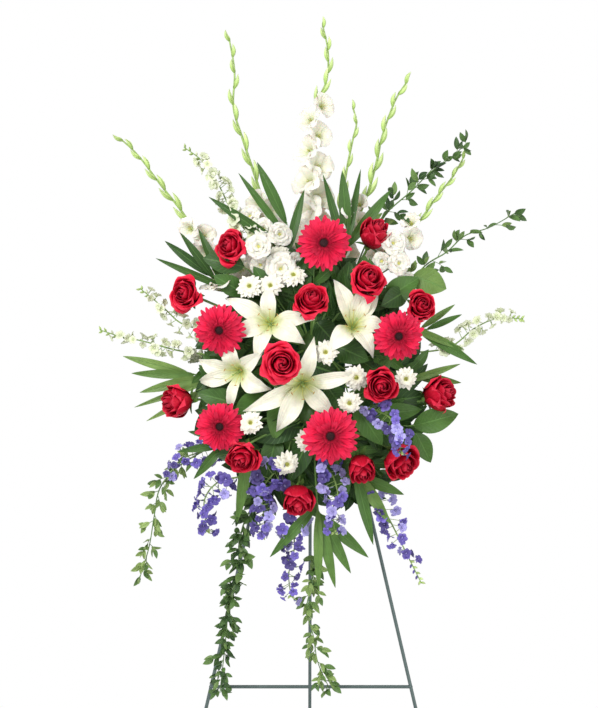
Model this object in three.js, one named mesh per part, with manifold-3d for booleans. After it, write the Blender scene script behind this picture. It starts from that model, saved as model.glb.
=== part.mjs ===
// A standing funeral spray: cut flowers and greens in a block of wet foam, held by a tray on a folding wire
// easel. Millimetres, +Z up, +X to the right and -Y towards the viewer. Flower places are heights above the
// floor and distances from the easel's centre line; the finished part is moved so that its origin is under
// its middle.
import * as THREE from "three";
import { mergeVertices } from "three/addons/utils/BufferGeometryUtils.js";
import Module from "manifold-3d";

const wasm = await Module();
wasm.setup();

// Driving dimensions of the easel and the foam holder
const GAP = 0.3; // clearance between pieces that touch
const WIRE_R = 3.2;
const LEAN = THREE.MathUtils.degToRad(8); // how far the front frame leans back
const SPLAY = 0.2308; // sideways run of a front leg for each unit of height
const EASEL_TOP = 1150;
const BEND_R = 12; // half width of the bend at the top of the front frame
const HINGE_Z = 1128;
const HOOK_WIRE_Z = 1064;
const HEAD_FOOT_Z = 1050; // where the bent head piece meets the two legs
const REST_WIRE_Z = 872;
const CROSS_WIRE_Z = 416;
const BACK_SWING = THREE.MathUtils.degToRad(20); // the back leg's angle behind the vertical
const EYE_HOLE_R = 3.8;
const EYE_SIDES = 10;
const TAIL_R = 2.6;
const TAIL_LENGTH = 30; // the back leg's end above its eye, which stops against the back of the bend

const FOAM = new THREE.Vector3(120, 85, 260);
const FOAM_MIDDLE_Z = 980;
const TRAY_WALL = 3;
const TRAY_RIM = 28;
const TRAY_BACK_Y = -5.8; // the tray's back face, in front of the frame's wires
const TAPE_WIDTH = 18;
const TAPE_THICKNESS = 1.2;
const TAPE_HEIGHT = 104; // of each tape above or below the foam's middle
const ROOT_DEPTH = 26;
const FOAM_BACK_Y = TRAY_BACK_Y - TRAY_WALL - GAP;
const FOAM_FRONT_Y = FOAM_BACK_Y - FOAM.y;

const COLOURS = {
  wire: 0x53605c,
  tray: 0x2f5a38,
  foam: 0x3f7a45,
  tape: 0x4d8a55,
  red: 0xd01830,
  white: 0xf4f0e2,
  bud: 0xb9cf7c,
  larkspur: 0xe6ead0,
  blue: 0x6a5ac8,
  leaf: 0x3f7a30,
  sprig: 0x5a8f3c,
};

const degrees = THREE.MathUtils.degToRad;
const point = (x, y, z) => new THREE.Vector3(x, y, z);
const UP = point(0, 0, 1);
const VIEWER = point(0, -1, 0);

// Solids: closed triangle meshes, joined and cut

// A solid from vertices and triangles. Triangles that have collapsed are left out.
function solidFrom(vertices, triangles) {
  const kept = triangles.filter(([a, b, c]) => a !== b && b !== c && a !== c);
  const make = (list) =>
    new wasm.Manifold(
      new wasm.Mesh({
        numProp: 3,
        vertProperties: Float32Array.from(vertices.flatMap((p) => [p.x, p.y, p.z])),
        triVerts: Uint32Array.from(list.flat()),
      }),
    );
  const made = make(kept);
  return made.volume() < 0 ? make(kept.map(([a, b, c]) => [a, c, b])) : made;
}

// A solid from one of three.js's closed geometries, placed by a matrix.
function solidOf(geometry, matrix = new THREE.Matrix4()) {
  const bare = geometry.clone();
  bare.deleteAttribute("normal");
  bare.deleteAttribute("uv");
  const merged = mergeVertices(bare.applyMatrix4(matrix), 1e-3);
  const places = merged.getAttribute("position");
  const vertices = Array.from({ length: places.count }, (_, i) => point().fromBufferAttribute(places, i));
  const index = Array.from(merged.index.array);
  const triangles = Array.from({ length: index.length / 3 }, (_, i) => index.slice(3 * i, 3 * i + 3));
  return solidFrom(vertices, triangles);
}

const fuse = (solids) => solids.reduce((all, one) => all.add(one));

// The largest single body of a solid: hollows that fusing has sealed are filled and loose scraps dropped.
function mainBody(solid) {
  return solid.decompose().reduce((best, one) => (one.volume() > best.volume() ? one : best));
}

function geometryOf(solid) {
  const { numProp, numVert, vertProperties, triVerts } = solid.getMesh();
  const places = new Float32Array(numVert * 3);
  for (let i = 0; i < numVert; i++) {
    places.set(vertProperties.subarray(i * numProp, i * numProp + 3), i * 3);
  }
  const geometry = new THREE.BufferGeometry();
  geometry.setAttribute("position", new THREE.BufferAttribute(places, 3));
  geometry.setIndex(new THREE.BufferAttribute(triVerts, 1));
  geometry.computeVertexNormals();
  return geometry;
}

// Basic forms

const box = (width, depth, height, x, y, z) =>
  solidOf(new THREE.BoxGeometry(width, depth, height), new THREE.Matrix4().makeTranslation(x, y, z));

// The triangles of a rod whose rings of corners come one after another.
function rodTriangles(steps, sides) {
  const triangles = [];
  for (let j = 0; j < steps; j++) {
    for (let i = 0; i < sides; i++) {
      const [a, b] = [j * sides + i, j * sides + ((i + 1) % sides)];
      triangles.push([a, b, b + sides], [a, b + sides, a + sides]);
    }
  }
  for (let i = 1; i < sides - 1; i++) {
    triangles.push([0, i + 1, i], [steps * sides, steps * sides + i, steps * sides + i + 1]);
  }
  return triangles;
}

// A wire or plain tube of even thickness along a curve.
function tube(curve, radius, sides, steps) {
  const ring = Array.from({ length: sides }, (_, i) => {
    const angle = ((i + 0.5) / sides) * 2 * Math.PI;
    return new THREE.Vector2(radius * Math.cos(angle), radius * Math.sin(angle));
  });
  const shape = new THREE.Shape(ring);
  return solidOf(new THREE.ExtrudeGeometry(shape, { steps, bevelEnabled: false, extrudePath: curve }));
}

// A wire bent in one plane, with a ring of corners square to its run at each of the given places.
function bentWire(line, across, radius, sides) {
  const vertices = [];
  line.forEach((place, j) => {
    const before = place.clone().sub(line[Math.max(j - 1, 0)]).normalize();
    const after = line[Math.min(j + 1, line.length - 1)].clone().sub(place).normalize();
    const run = before.add(after).normalize();
    const aside = run.clone().cross(across).normalize();
    const mitre = 1 / Math.max(run.dot(after.lengthSq() ? after : run), 0.5);
    for (let i = 0; i < sides; i++) {
      const angle = ((i + 0.5) / sides) * 2 * Math.PI;
      vertices.push(
        place
          .clone()
          .addScaledVector(aside, mitre * radius * Math.cos(angle))
          .addScaledVector(across, radius * Math.sin(angle)),
      );
    }
  });
  return solidFrom(vertices, rodTriangles(line.length - 1, sides));
}

const straight = (from, to, radius, sides) => tube(new THREE.LineCurve3(from, to), radius, sides, 1);

// A rod through places in order, with a ring of corners square to the way at each. The first ring is set by
// the rod's first way alone, so that a hole made from the same two places has its corners in line with the
// rod's.
function rod(line, sides) {
  const vertices = [];
  let aside = point(0.2, 0.3, 0.9).cross(line[0].way).normalize();
  for (const { place, way, radius } of line) {
    aside = aside.addScaledVector(way, -aside.dot(way)).normalize();
    const other = way.clone().cross(aside);
    for (let i = 0; i < sides; i++) {
      const angle = (i / sides) * 2 * Math.PI;
      vertices.push(
        place
          .clone()
          .addScaledVector(aside, radius * Math.cos(angle))
          .addScaledVector(other, radius * Math.sin(angle)),
      );
    }
  }
  return solidFrom(vertices, rodTriangles(line.length - 1, sides));
}

// A stem along a smooth curve, which tapers from its foot to its tip. With a root it starts in the foam.
function stem(curve, { footR, tipR = footR, sides = 3, steps = 3, root = null }) {
  const line = Array.from({ length: steps + 1 }, (_, j) => ({
    place: curve.getPointAt(j / steps),
    way: curve.getTangentAt(j / steps).normalize(),
    radius: THREE.MathUtils.lerp(footR, tipR, j / steps),
  }));
  if (root) {
    const way = root.outer.clone().sub(root.inner).normalize();
    line.splice(0, 1, ...[root.inner, root.outer].map((place) => ({ place, way, radius: footR })));
  }
  return rod(line, sides);
}

// The square way out of a surface at(u, v), measured a little inside its edges.
const INSET = 0.06;

function normalAt(at, u, v) {
  const p = THREE.MathUtils.clamp(u, -1 + INSET, 1 - INSET);
  const q = THREE.MathUtils.clamp(v, INSET, 1 - INSET);
  const across = at(p + INSET, q).sub(at(p - INSET, q));
  const along = at(p, q + INSET).sub(at(p, q - INSET));
  return across.cross(along).normalize();
}

// A thin closed blade. at(u, v) is its middle surface, u from -1 to 1 across and v from 0 to 1 along. It is
// thickest inside and sharp all round its edge, and both faces are split into triangles alike. Grown, it is
// a slab that is thick at its edge too, so that it holds the plain blade with room to spare.
function blade(at, { columns = 2, rows = 3, thickness = 1.4, grow = 0 } = {}) {
  const centre = at(0, 0.5);
  const size = at(0, 0).distanceTo(at(0, 1)) + at(-1, 0.6).distanceTo(at(1, 0.6));
  const spread = 1 + (4 * grow) / size;
  const vertices = [];
  const known = new Map();
  const vertex = (p) => {
    const key = [p.x, p.y, p.z].map((x) => Math.round(x * 500)).join();
    if (!known.has(key)) known.set(key, vertices.push(p) - 1);
    return known.get(key);
  };
  const grids = [1, -1].map((side) =>
    Array.from({ length: columns + 1 }, (_, i) =>
      Array.from({ length: rows + 1 }, (_, j) => {
        const [u, v] = [-1 + (2 * i) / columns, j / rows];
        const onEdge = i === 0 || j === 0 || i === columns || j === rows;
        const rise = onEdge && !grow ? 0 : side * (thickness / 2 + grow);
        const middle = at(u, v).sub(centre).multiplyScalar(spread).add(centre);
        return vertex(middle.addScaledVector(normalAt(at, u, v), rise));
      }),
    ),
  );
  const triangles = [];
  const quad = (a, b, c, d, rising) => {
    if (rising) triangles.push([a, b, c], [a, c, d]);
    else triangles.push([a, b, d], [b, c, d]);
  };
  for (let i = 0; i < columns; i++) {
    for (let j = 0; j < rows; j++) {
      const rising = i < columns / 2 === j < rows / 2;
      const [front, back] = grids.map((g) => [g[i][j], g[i + 1][j], g[i + 1][j + 1], g[i][j + 1]]);
      quad(...front, rising);
      quad(back[1], back[0], back[3], back[2], !rising);
    }
  }
  const [front, back] = grids.map((g) => [
    ...g.slice(0, -1).map((row) => row[0]), ...g.at(-1).slice(0, -1),
    ...g.slice(1).reverse().map((row) => row.at(-1)), ...g[0].slice(1).reverse(),
  ]);
  front.forEach((_, i) => {
    const next = (i + 1) % front.length;
    quad(front[next], front[i], back[i], back[next], true);
  });
  return solidFrom(vertices, triangles);
}

// A small closed bud or spindle from one point to another.
function bud(from, to, width, { sides = 3, belly = 0.45 } = {}) {
  const along = to.clone().sub(from);
  const aside = point(0.3, -0.8, 0.5).cross(along).normalize();
  const other = along.clone().normalize().cross(aside);
  const waist = from.clone().addScaledVector(along, belly);
  const ring = Array.from({ length: sides }, (_, i) => {
    const angle = (i / sides) * 2 * Math.PI;
    return waist
      .clone()
      .addScaledVector(aside, (width / 2) * Math.cos(angle))
      .addScaledVector(other, (width / 2) * Math.sin(angle));
  });
  const triangles = ring.flatMap((_, i) => {
    const next = (i + 1) % sides;
    return [[sides, next, i], [sides + 1, i, next]];
  });
  return solidFrom([...ring, from.clone(), to.clone()], triangles);
}

// A ring of corners about +Z. Each corner is [radius, height, angle], and the pattern is repeated count
// times, with its angles as shares of one repeat.
function ring(pattern, count, turn = 0) {
  const corners = [];
  for (let k = 0; k < count; k++) {
    for (const [r, z, share = 0] of pattern) {
      const angle = ((k + share + turn) / count) * 2 * Math.PI;
      corners.push({ angle, place: point(r * Math.cos(angle), r * Math.sin(angle), z) });
    }
  }
  return corners;
}

// A closed solid from rings one after another, from the middle of its back over its edge to the middle of
// its front. Rings may have different numbers of corners: the strip between two rings is stepped round by
// angle.
function ringSolid(back, rings, front) {
  const vertices = [point(0, 0, back), point(0, 0, front)];
  const numbered = rings.map((corners) =>
    corners.map(({ angle, place }) => ({ angle, index: vertices.push(place) - 1 })),
  );
  const triangles = [];
  const cap = (corners, tip, flip) =>
    corners.forEach(({ index }, i) => {
      const next = corners[(i + 1) % corners.length].index;
      triangles.push(flip ? [tip, next, index] : [tip, index, next]);
    });
  cap(numbered[0], 0, true);
  cap(numbered.at(-1), 1, false);
  for (let j = 0; j + 1 < numbered.length; j++) {
    const [low, high] = [numbered[j], numbered[j + 1]];
    const turnsBefore = (corners, i) => 2 * Math.PI * Math.floor(i / corners.length);
    const angleOf = (corners, i) => corners[i % corners.length].angle + turnsBefore(corners, i);
    const indexOf = (corners, i) => corners[i % corners.length].index;
    let [a, b] = [0, 0];
    while (a < low.length || b < high.length) {
      const stepLow = b >= high.length || (a < low.length && angleOf(low, a + 1) <= angleOf(high, b + 1));
      if (stepLow) triangles.push([indexOf(low, a), indexOf(low, a + 1), indexOf(high, b)]);
      else triangles.push([indexOf(low, a), indexOf(high, b + 1), indexOf(high, b)]);
      if (stepLow) a++;
      else b++;
    }
  }
  return solidFrom(vertices, triangles);
}

// A small open flower of joined petals on a short neck. It grows along its own +Z from the origin. Grown,
// its edge goes on outwards between the slopes of its front and its back.
function star({ petals, radius, depth, notch = 0.5, thickness, neck = 0.13, grow = 0 }) {
  const neckZ = 0.45 * thickness;
  const edge = (reach, z) => {
    const slope = ((z - thickness) / reach + (z - neckZ) / (reach - neck * radius)) / 2;
    return [reach + 2 * grow, z + 2 * grow * slope];
  };
  const rings = [
    ring([[neck * radius + 2 * grow, neckZ - grow, 0.5]], 3),
    ring([[...edge(radius, depth), 0], [...edge(notch * radius, 0.8 * depth), 0.5]], petals),
  ];
  return ringSolid(-grow, rings, thickness + grow);
}

// The direction that a bloom faces: yaw to the viewer's right and pitch upwards, in degrees from straight
// ahead.
function facing(yaw, pitch) {
  const [a, b] = [degrees(yaw), degrees(pitch)];
  return point(Math.sin(a) * Math.cos(b), -Math.cos(a) * Math.cos(b), Math.sin(b));
}

// A frame at a place whose +Z points along a direction and whose +Y is as upright as it can be.
function frameAt(place, direction, roll = 0) {
  const z = direction.clone().normalize();
  const x = UP.clone().cross(z);
  if (x.length() < 1e-3) x.set(1, 0, 0);
  x.normalize();
  const y = z.clone().cross(x);
  const roller = new THREE.Matrix4().makeRotationZ(degrees(roll));
  return new THREE.Matrix4().makeBasis(x, y, z).multiply(roller).setPosition(place);
}

// The holder's own frame: its origin is on the easel's front plane at the foam's middle.
const framePlaneY = (z) => -(EASEL_TOP - z) * Math.tan(LEAN);
const HOLDER = new THREE.Matrix4()
  .makeRotationX(-LEAN)
  .setPosition(0, framePlaneY(FOAM_MIDDLE_Z), FOAM_MIDDLE_Z);

// Where a stem goes into the foam: a face of the block and a place on it. The two ends of the straight root
// are just outside the face and inside the foam.
const FACES = {
  top: (x, y) => [point(x, y, FOAM.z / 2), point(0, 0, -1)],
  bottom: (x, y) => [point(x, y, -FOAM.z / 2), point(0, 0, 1)],
  left: (y, z) => [point(-FOAM.x / 2, y, z), point(1, 0, 0)],
  right: (y, z) => [point(FOAM.x / 2, y, z), point(-1, 0, 0)],
  front: (x, z) => [point(x, FOAM_FRONT_Y, z), point(0, 1, 0)],
};

function rootAt([face, a, b], depth = ROOT_DEPTH) {
  const [place, inwards] = FACES[face](a, b);
  const outer = place.clone().addScaledVector(inwards, -4).applyMatrix4(HOLDER);
  const inner = place.clone().addScaledVector(inwards, depth).applyMatrix4(HOLDER);
  return { outer, inner };
}

// The hole for a root: as many sides, a gap wider and a gap deeper.
function holeSolid({ outer, inner }, radius, sides) {
  const way = outer.clone().sub(inner).normalize();
  const wide = radius + GAP / Math.cos(Math.PI / sides);
  const ends = [inner.clone().addScaledVector(way, -GAP), outer.clone().addScaledVector(way, 3)];
  return rod(ends.map((place) => ({ place, way, radius: wide })), sides);
}

// Blooms, each in its own frame: +Z is the way it faces and its base is at the origin

// A rose: three whorls of petals, each whorl's edge stepped where one petal overlaps the next. open is 0
// for a closed bud and 1 for a full flower.
function roseHead({ width, height, open }) {
  const R = width / 2;
  const petal = (r, z, dip) => [
    [R * r * 1.06, height * (z - dip), 0.02], [R * r * 1.04, height * z, 0.3], [R * r, height * z, 0.66],
    [R * r * 0.86, height * (z - dip), 0.97],
  ];
  const plain = (r, z) => [[R * r, height * z, 0.5]];
  const lip = 0.8 - 0.28 * open;
  const rings = [
    ring(plain(0.16, 0), 6), ring(plain(0.52, 0.14), 8), ring(plain(0.82, 0.34), 10),
    ring(petal(1, lip, 0.14), 5), ring(plain(0.62 + 0.1 * open, 0.5 - 0.08 * open), 8),
    ring(petal(0.6 + 0.06 * open, 0.88, 0.1), 4, 0.3), ring(plain(0.4, 0.66), 6),
    ring(petal(0.3, 1, 0.06), 2, 0.2), ring(plain(0.13, 0.86), 4),
  ];
  return ringSolid(0, rings, 0.84 * height);
}

// The space a rose fills, which leaves and stems keep out of.
function roseSpace({ width, height, open }) {
  const R = width / 2;
  const rim = 0.8 - 0.28 * open;
  const profile = [
    [0, -GAP / height], [0.2, -GAP / height], [0.62, 0.08], [0.94, 0.28], [1.13, rim - 0.16],
    [1.13, rim + 0.05], [0.78, 1.03], [0, 1.05],
  ].map(([r, z]) => new THREE.Vector2(r * R, z * height));
  return solidOf(new THREE.LatheGeometry(profile, 12), new THREE.Matrix4().makeRotationX(Math.PI / 2));
}

// A gerbera: a domed disc, a short inner row and a long outer row of narrow petals.
const GERBERA_DEPTH = 13;
const GERBERA_PETALS = 16;
const GERBERA_INNER_PETALS = 10;

function gerberaHead({ width }) {
  const R = width / 2;
  const outer = [[0.93 * R, 7, 0.25], [R, 6, 0.5], [0.93 * R, 7, 0.75], [0.55 * R, 6, 1]];
  const inner = [[0.56 * R, 10.5, 0.5], [0.34 * R, 9, 1]];
  const plain = (r, z) => [[r * R, z, 0.5]];
  const rings = [
    ring(plain(0.1, 0), 6), ring(plain(0.3, 3), 8), ring(outer, GERBERA_PETALS), ring(plain(0.3, 5.5), 11),
    ring(inner, GERBERA_INNER_PETALS), ring(plain(0.26, 9.5), 9), ring(plain(0.12, 13), 6),
  ];
  return ringSolid(0, rings, 11.5);
}

function gerberaSpace({ width }) {
  const R = width / 2;
  const profile = [
    [0, -GAP], [0.11 * R, -GAP], [0.5 * R, 3], [R + 1.5, 3], [R + 1.5, 9.5], [0.6 * R, 14], [0, 15],
  ].map(([r, z]) => new THREE.Vector2(r, z));
  return solidOf(new THREE.LatheGeometry(profile, 12), new THREE.Matrix4().makeRotationX(Math.PI / 2));
}

// A lily: six long recurved petals, six stamens and a pistil from one narrow throat.
const LILY_PETALS = 6;

function lilyPetals(reach, depth, grow) {
  const edge = [];
  const ribs = [[], []];
  for (let k = 0; k < LILY_PETALS; k++) {
    const half = k % 2 ? 0.2 : 0.16;
    const turn = (r, aside, z) => {
      const angle = (k / LILY_PETALS) * 2 * Math.PI + Math.atan2(aside, r);
      const far = Math.hypot(r, aside) * reach;
      return point(far * Math.cos(angle), far * Math.sin(angle), z * depth);
    };
    const rib = [turn(0.12, 0, 0.42), turn(0.42, 0, 1.02), turn(0.78, 0, 0.92)];
    const beyond = (place, from) => place.add(place.clone().sub(from).setLength(2 * grow));
    edge.push([
      beyond(turn(0.1, -0.058, 0.5), rib[0]), beyond(turn(0.42, -half, 1.2), rib[1]),
      beyond(turn(0.78, -0.7 * half, 1.02), rib[2]), beyond(turn(1, 0, 0.55), rib[2]),
      beyond(turn(0.78, 0.7 * half, 1.02), rib[2]), beyond(turn(0.42, half, 1.2), rib[1]),
    ]);
    const thick = point(0, 0, 1.3 + grow);
    ribs[0].push(rib.map((place) => place.clone().add(thick)));
    ribs[1].push(rib.map((place) => place.clone().sub(thick)));
  }
  const vertices = [point(0, 0, 0.3 * depth), point(0, 0, -grow)];
  const number = (list) => list.map((petal) => petal.map((p) => vertices.push(p) - 1));
  const rim = number(edge);
  const faces = ribs.map(number);
  const triangles = [];
  faces.forEach((rib, side) => {
    const add = (a, b, c) => triangles.push(side ? [a, c, b] : [a, b, c]);
    for (let k = 0; k < LILY_PETALS; k++) {
      const [r0, r1, r2] = rib[k];
      const [notch, low, high, tip, highFar, lowFar] = rim[k];
      const after = rim[(k + 1) % LILY_PETALS][0];
      add(side, notch, r0);
      add(side, r0, after);
      add(r0, notch, low);
      add(r0, low, r1);
      add(r1, low, high);
      add(r1, high, r2);
      add(r2, high, tip);
      add(r2, tip, highFar);
      add(r2, highFar, r1);
      add(r1, highFar, lowFar);
      add(r1, lowFar, r0);
      add(r0, lowFar, after);
    }
  });
  return solidFrom(vertices, triangles);
}

function lilyHead({ reach, depth }, grow = 0) {
  const parts = [lilyPetals(reach, depth, grow)];
  const club = (from, to) => {
    const spare = to.clone().sub(from).setLength(grow);
    return bud(from.clone().sub(spare), to.clone().add(spare), 4.5 + 2 * grow, { belly: 0.85 });
  };
  for (let k = 0; k < LILY_PETALS; k++) {
    const angle = degrees(k * 60 + 30);
    const reachAt = (r, z) => point(r * reach * Math.cos(angle), r * reach * Math.sin(angle), z * depth);
    parts.push(club(reachAt(0.035, 0.25), reachAt(0.22, 1.25)));
  }
  parts.push(club(point(0, 0, 0.1 * depth), point(1.5, 2, depth * 1.4)));
  return fuse(parts);
}

// Where the blooms are. x is to the right of the easel's centre line, z the height of the bloom's middle
// above the floor and y its depth.
const ROSES = {
  rose_upper_left: { x: -144, y: -142, z: 1215, width: 66, height: 50, open: 0.7, yaw: -35, pitch: 12 },
  rose_left: { x: -227, y: -141, z: 1130, width: 68, height: 48, open: 0.8, yaw: -25, pitch: 5 },
  rose_top_right: { x: 115, y: -122, z: 1240, width: 58, height: 58, open: 0.25, yaw: 35, pitch: 50 },
  rose_upper_right: { x: 101, y: -184, z: 1157, width: 72, height: 50, open: 0.8, yaw: 18, pitch: 22 },
  rose_upper_middle: { x: 1, y: -206, z: 1117, width: 70, height: 50, open: 0.75, yaw: 0, pitch: 30 },
  rose_right: { x: 198, y: -152, z: 1109, width: 58, height: 46, open: 0.6, yaw: 15, pitch: 10 },
  rose_centre: {
    x: -52, y: -246, z: 1006, width: 80, height: 50, open: 1, yaw: 4, pitch: -2, via: [-34, -192, 1032],
  },
  rose_lower_left: { x: -241, y: -150, z: 936, width: 64, height: 58, open: 0.3, yaw: -60, pitch: -5 },
  rose_middle_right: { x: 124, y: -212, z: 967, width: 66, height: 52, open: 0.6, yaw: 8, pitch: -12 },
  rose_far_right: { x: 230, y: -160, z: 950, width: 66, height: 60, open: 0.3, yaw: 55, pitch: 18 },
  rose_low_left: { x: -121, y: -202, z: 839, width: 68, height: 52, open: 0.6, yaw: -15, pitch: -30 },
  rose_low_middle: { x: 90, y: -190, z: 819, width: 52, height: 56, open: 0.2, yaw: 15, pitch: -45 },
  rose_low_right: { x: 162, y: -168, z: 830, width: 74, height: 60, open: 0.5, yaw: 35, pitch: -30 },
  rose_bottom: { x: -22, y: -172, z: 761, width: 62, height: 58, open: 0.3, yaw: 0, pitch: -50 },
};

const GERBERAS = {
  gerbera_top: { x: 23, y: -160, z: 1221, width: 104, yaw: 0, pitch: 4 },
  gerbera_left: { x: -163, y: -190, z: 1065, width: 100, yaw: -12, pitch: -14 },
  gerbera_right: { x: 155, y: -202, z: 1054, width: 98, yaw: 8, pitch: -10 },
  gerbera_lower_left: { x: -163, y: -168, z: 892, width: 96, yaw: -8, pitch: -6 },
  gerbera_lower: { x: 34, y: -218, z: 877, width: 108, yaw: 2, pitch: -8 },
};

const LILIES = {
  lily_front: { x: -16, y: -176, z: 968, reach: 104, depth: 40, yaw: 2, pitch: -8, roll: 16 },
  lily_upper_left: { x: -74, y: -166, z: 1078, reach: 88, depth: 34, yaw: -8, pitch: 12, roll: 30 },
  lily_left: { x: -130, y: -156, z: 990, reach: 86, depth: 34, yaw: -22, pitch: -14, roll: 15 },
  lily_upper_right: { x: 76, y: -160, z: 1073, reach: 92, depth: 38, yaw: 8, pitch: 18, roll: 50 },
};

// Sprays. Each path is a list of [x, y, z] from where the stem leaves the foam's neighbourhood to its tip.
const GLADIOLI = {
  gladiolus_centre: {
    root: ["top", 4, -48],
    path: [
      [4, -54, 1160], [5, -52, 1291], [5, -52, 1363], [14, -52, 1489], [29, -54, 1525], [32, -54, 1579],
      [22, -54, 1629],
    ],
    florets: { from: 0.26, to: 0.68, count: 6, size: 30 },
    buds: { from: 0.7, to: 0.99, count: 6, length: 40 },
  },
  gladiolus_left: {
    root: ["top", -30, -62],
    path: [
      [-40, -66, 1160], [-79, -66, 1265], [-92, -66, 1316], [-126, -66, 1420], [-142, -66, 1474],
      [-140, -66, 1541], [-150, -66, 1602],
    ],
    florets: { from: 0.08, to: 0.36, count: 5, size: 29 },
    buds: { from: 0.4, to: 0.99, count: 8, length: 44 },
  },
  gladiolus_far_left: {
    root: ["top", -50, -50],
    path: [
      [-72, -56, 1142], [-150, -62, 1180], [-218, -66, 1258], [-243, -66, 1292], [-272, -66, 1328],
      [-320, -66, 1390], [-349, -66, 1417],
    ],
    florets: { from: 0.22, to: 0.5, count: 4, size: 27 },
    buds: { from: 0.55, to: 0.99, count: 7, length: 42 },
  },
  gladiolus_right: {
    root: ["top", 34, -44],
    path: [
      [42, -48, 1160], [76, -48, 1246], [103, -48, 1312], [124, -48, 1386], [130, -48, 1417],
      [158, -48, 1494], [178, -48, 1525],
    ],
    florets: { from: 0.2, to: 0.4, count: 2, size: 22 },
    buds: { from: 0.42, to: 0.99, count: 8, length: 46 },
  },
  gladiolus_short: {
    root: ["top", 22, -70],
    path: [
      [28, -76, 1150], [52, -78, 1237], [56, -78, 1292], [66, -78, 1360], [77, -78, 1415], [84, -78, 1447],
      [77, -78, 1474],
    ],
    florets: { from: 0.2, to: 0.42, count: 2, size: 20 },
    buds: { from: 0.42, to: 0.99, count: 6, length: 36 },
  },
  gladiolus_far_right: {
    root: ["top", 50, -62],
    path: [
      [74, -68, 1140], [120, -72, 1180], [157, -76, 1212], [207, -78, 1276], [230, -78, 1309],
      [261, -78, 1348], [281, -78, 1384],
    ],
    florets: { from: 0.32, to: 0.54, count: 4, size: 26 },
    buds: { from: 0.55, to: 0.99, count: 6, length: 34 },
  },
};

const LARKSPURS = {
  larkspur_upper_left: {
    root: ["top", -12, -78],
    path: [
      [-32, -102, 1150], [-110, -102, 1236], [-144, -96, 1283], [-176, -90, 1345], [-202, -90, 1378],
      [-232, -90, 1400],
    ],
    florets: { from: 0.42, to: 0.86, count: 7, size: 15 },
    buds: { from: 0.88, to: 1, count: 2, length: 11 },
  },
  larkspur_left: {
    root: ["left", -60, 30],
    path: [
      [-100, -92, 1012], [-180, -98, 1020], [-240, -100, 1028], [-308, -100, 1046], [-344, -100, 1053],
      [-385, -100, 1066],
    ],
    florets: { from: 0.42, to: 0.86, count: 6, size: 14 },
    buds: { from: 0.88, to: 1, count: 2, length: 10 },
  },
  larkspur_far_left: {
    root: ["left", -76, 64],
    path: [[-96, -106, 1050], [-180, -106, 1064], [-236, -100, 1078], [-268, -98, 1106], [-312, -98, 1142]],
    florets: { from: 0.5, to: 0.9, count: 5, size: 14 },
    buds: { from: 0.92, to: 1, count: 2, length: 10 },
  },
  larkspur_right: {
    root: ["right", -60, 40],
    path: [
      [100, -92, 1020], [180, -98, 1024], [254, -100, 1035], [300, -100, 1070], [340, -100, 1087],
      [387, -100, 1086],
    ],
    florets: { from: 0.55, to: 0.9, count: 6, size: 15 },
    buds: { from: 0.93, to: 1, count: 2, length: 11 },
  },
};

const DELPHINIUMS = {
  delphinium_far_left: {
    root: ["left", -70, -84],
    path: [[-96, -116, 884], [-150, -118, 866], [-196, -120, 846], [-236, -122, 830], [-260, -122, 800]],
    florets: { from: 0.45, to: 1, count: 5, size: 16 },
  },
  delphinium_left: {
    root: ["bottom", -46, -60],
    path: [[-64, -112, 830], [-120, -124, 802], [-168, -128, 790], [-192, -130, 760], [-188, -130, 700]],
    florets: { from: 0.5, to: 1, count: 6, size: 17 },
  },
  delphinium_lower_left: {
    root: ["bottom", -26, -82],
    path: [[-40, -140, 832], [-74, -160, 800], [-92, -168, 770], [-82, -168, 735], [-88, -166, 694]],
    florets: { from: 0.25, to: 1, count: 7, size: 19 },
  },
  delphinium_bottom: {
    root: ["bottom", -6, -60],
    path: [[-10, -116, 800], [-32, -132, 720], [-30, -140, 672], [-40, -140, 625], [-36, -138, 583]],
    florets: { from: 0.4, to: 1, count: 6, size: 18 },
  },
  delphinium_lower_right: {
    root: ["bottom", 14, -82],
    path: [[24, -150, 826], [42, -166, 796], [48, -172, 764], [40, -172, 735], [42, -170, 702]],
    florets: { from: 0.2, to: 1, count: 5, size: 17 },
  },
  delphinium_right: {
    root: ["right", -74, -40],
    path: [[92, -128, 930], [118, -160, 920], [140, -196, 908], [156, -208, 880], [158, -212, 846]],
    florets: { from: 0.35, to: 1, count: 5, size: 16 },
  },
  delphinium_far_right: {
    root: ["bottom", 34, -60],
    path: [
      [54, -114, 822], [97, -124, 787], [131, -130, 742], [155, -132, 697], [175, -132, 657],
      [200, -132, 607],
    ],
    florets: { from: 0.4, to: 0.86, count: 6, size: 16 },
    buds: { from: 0.9, to: 1, count: 2, length: 9 },
  },
};

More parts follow.
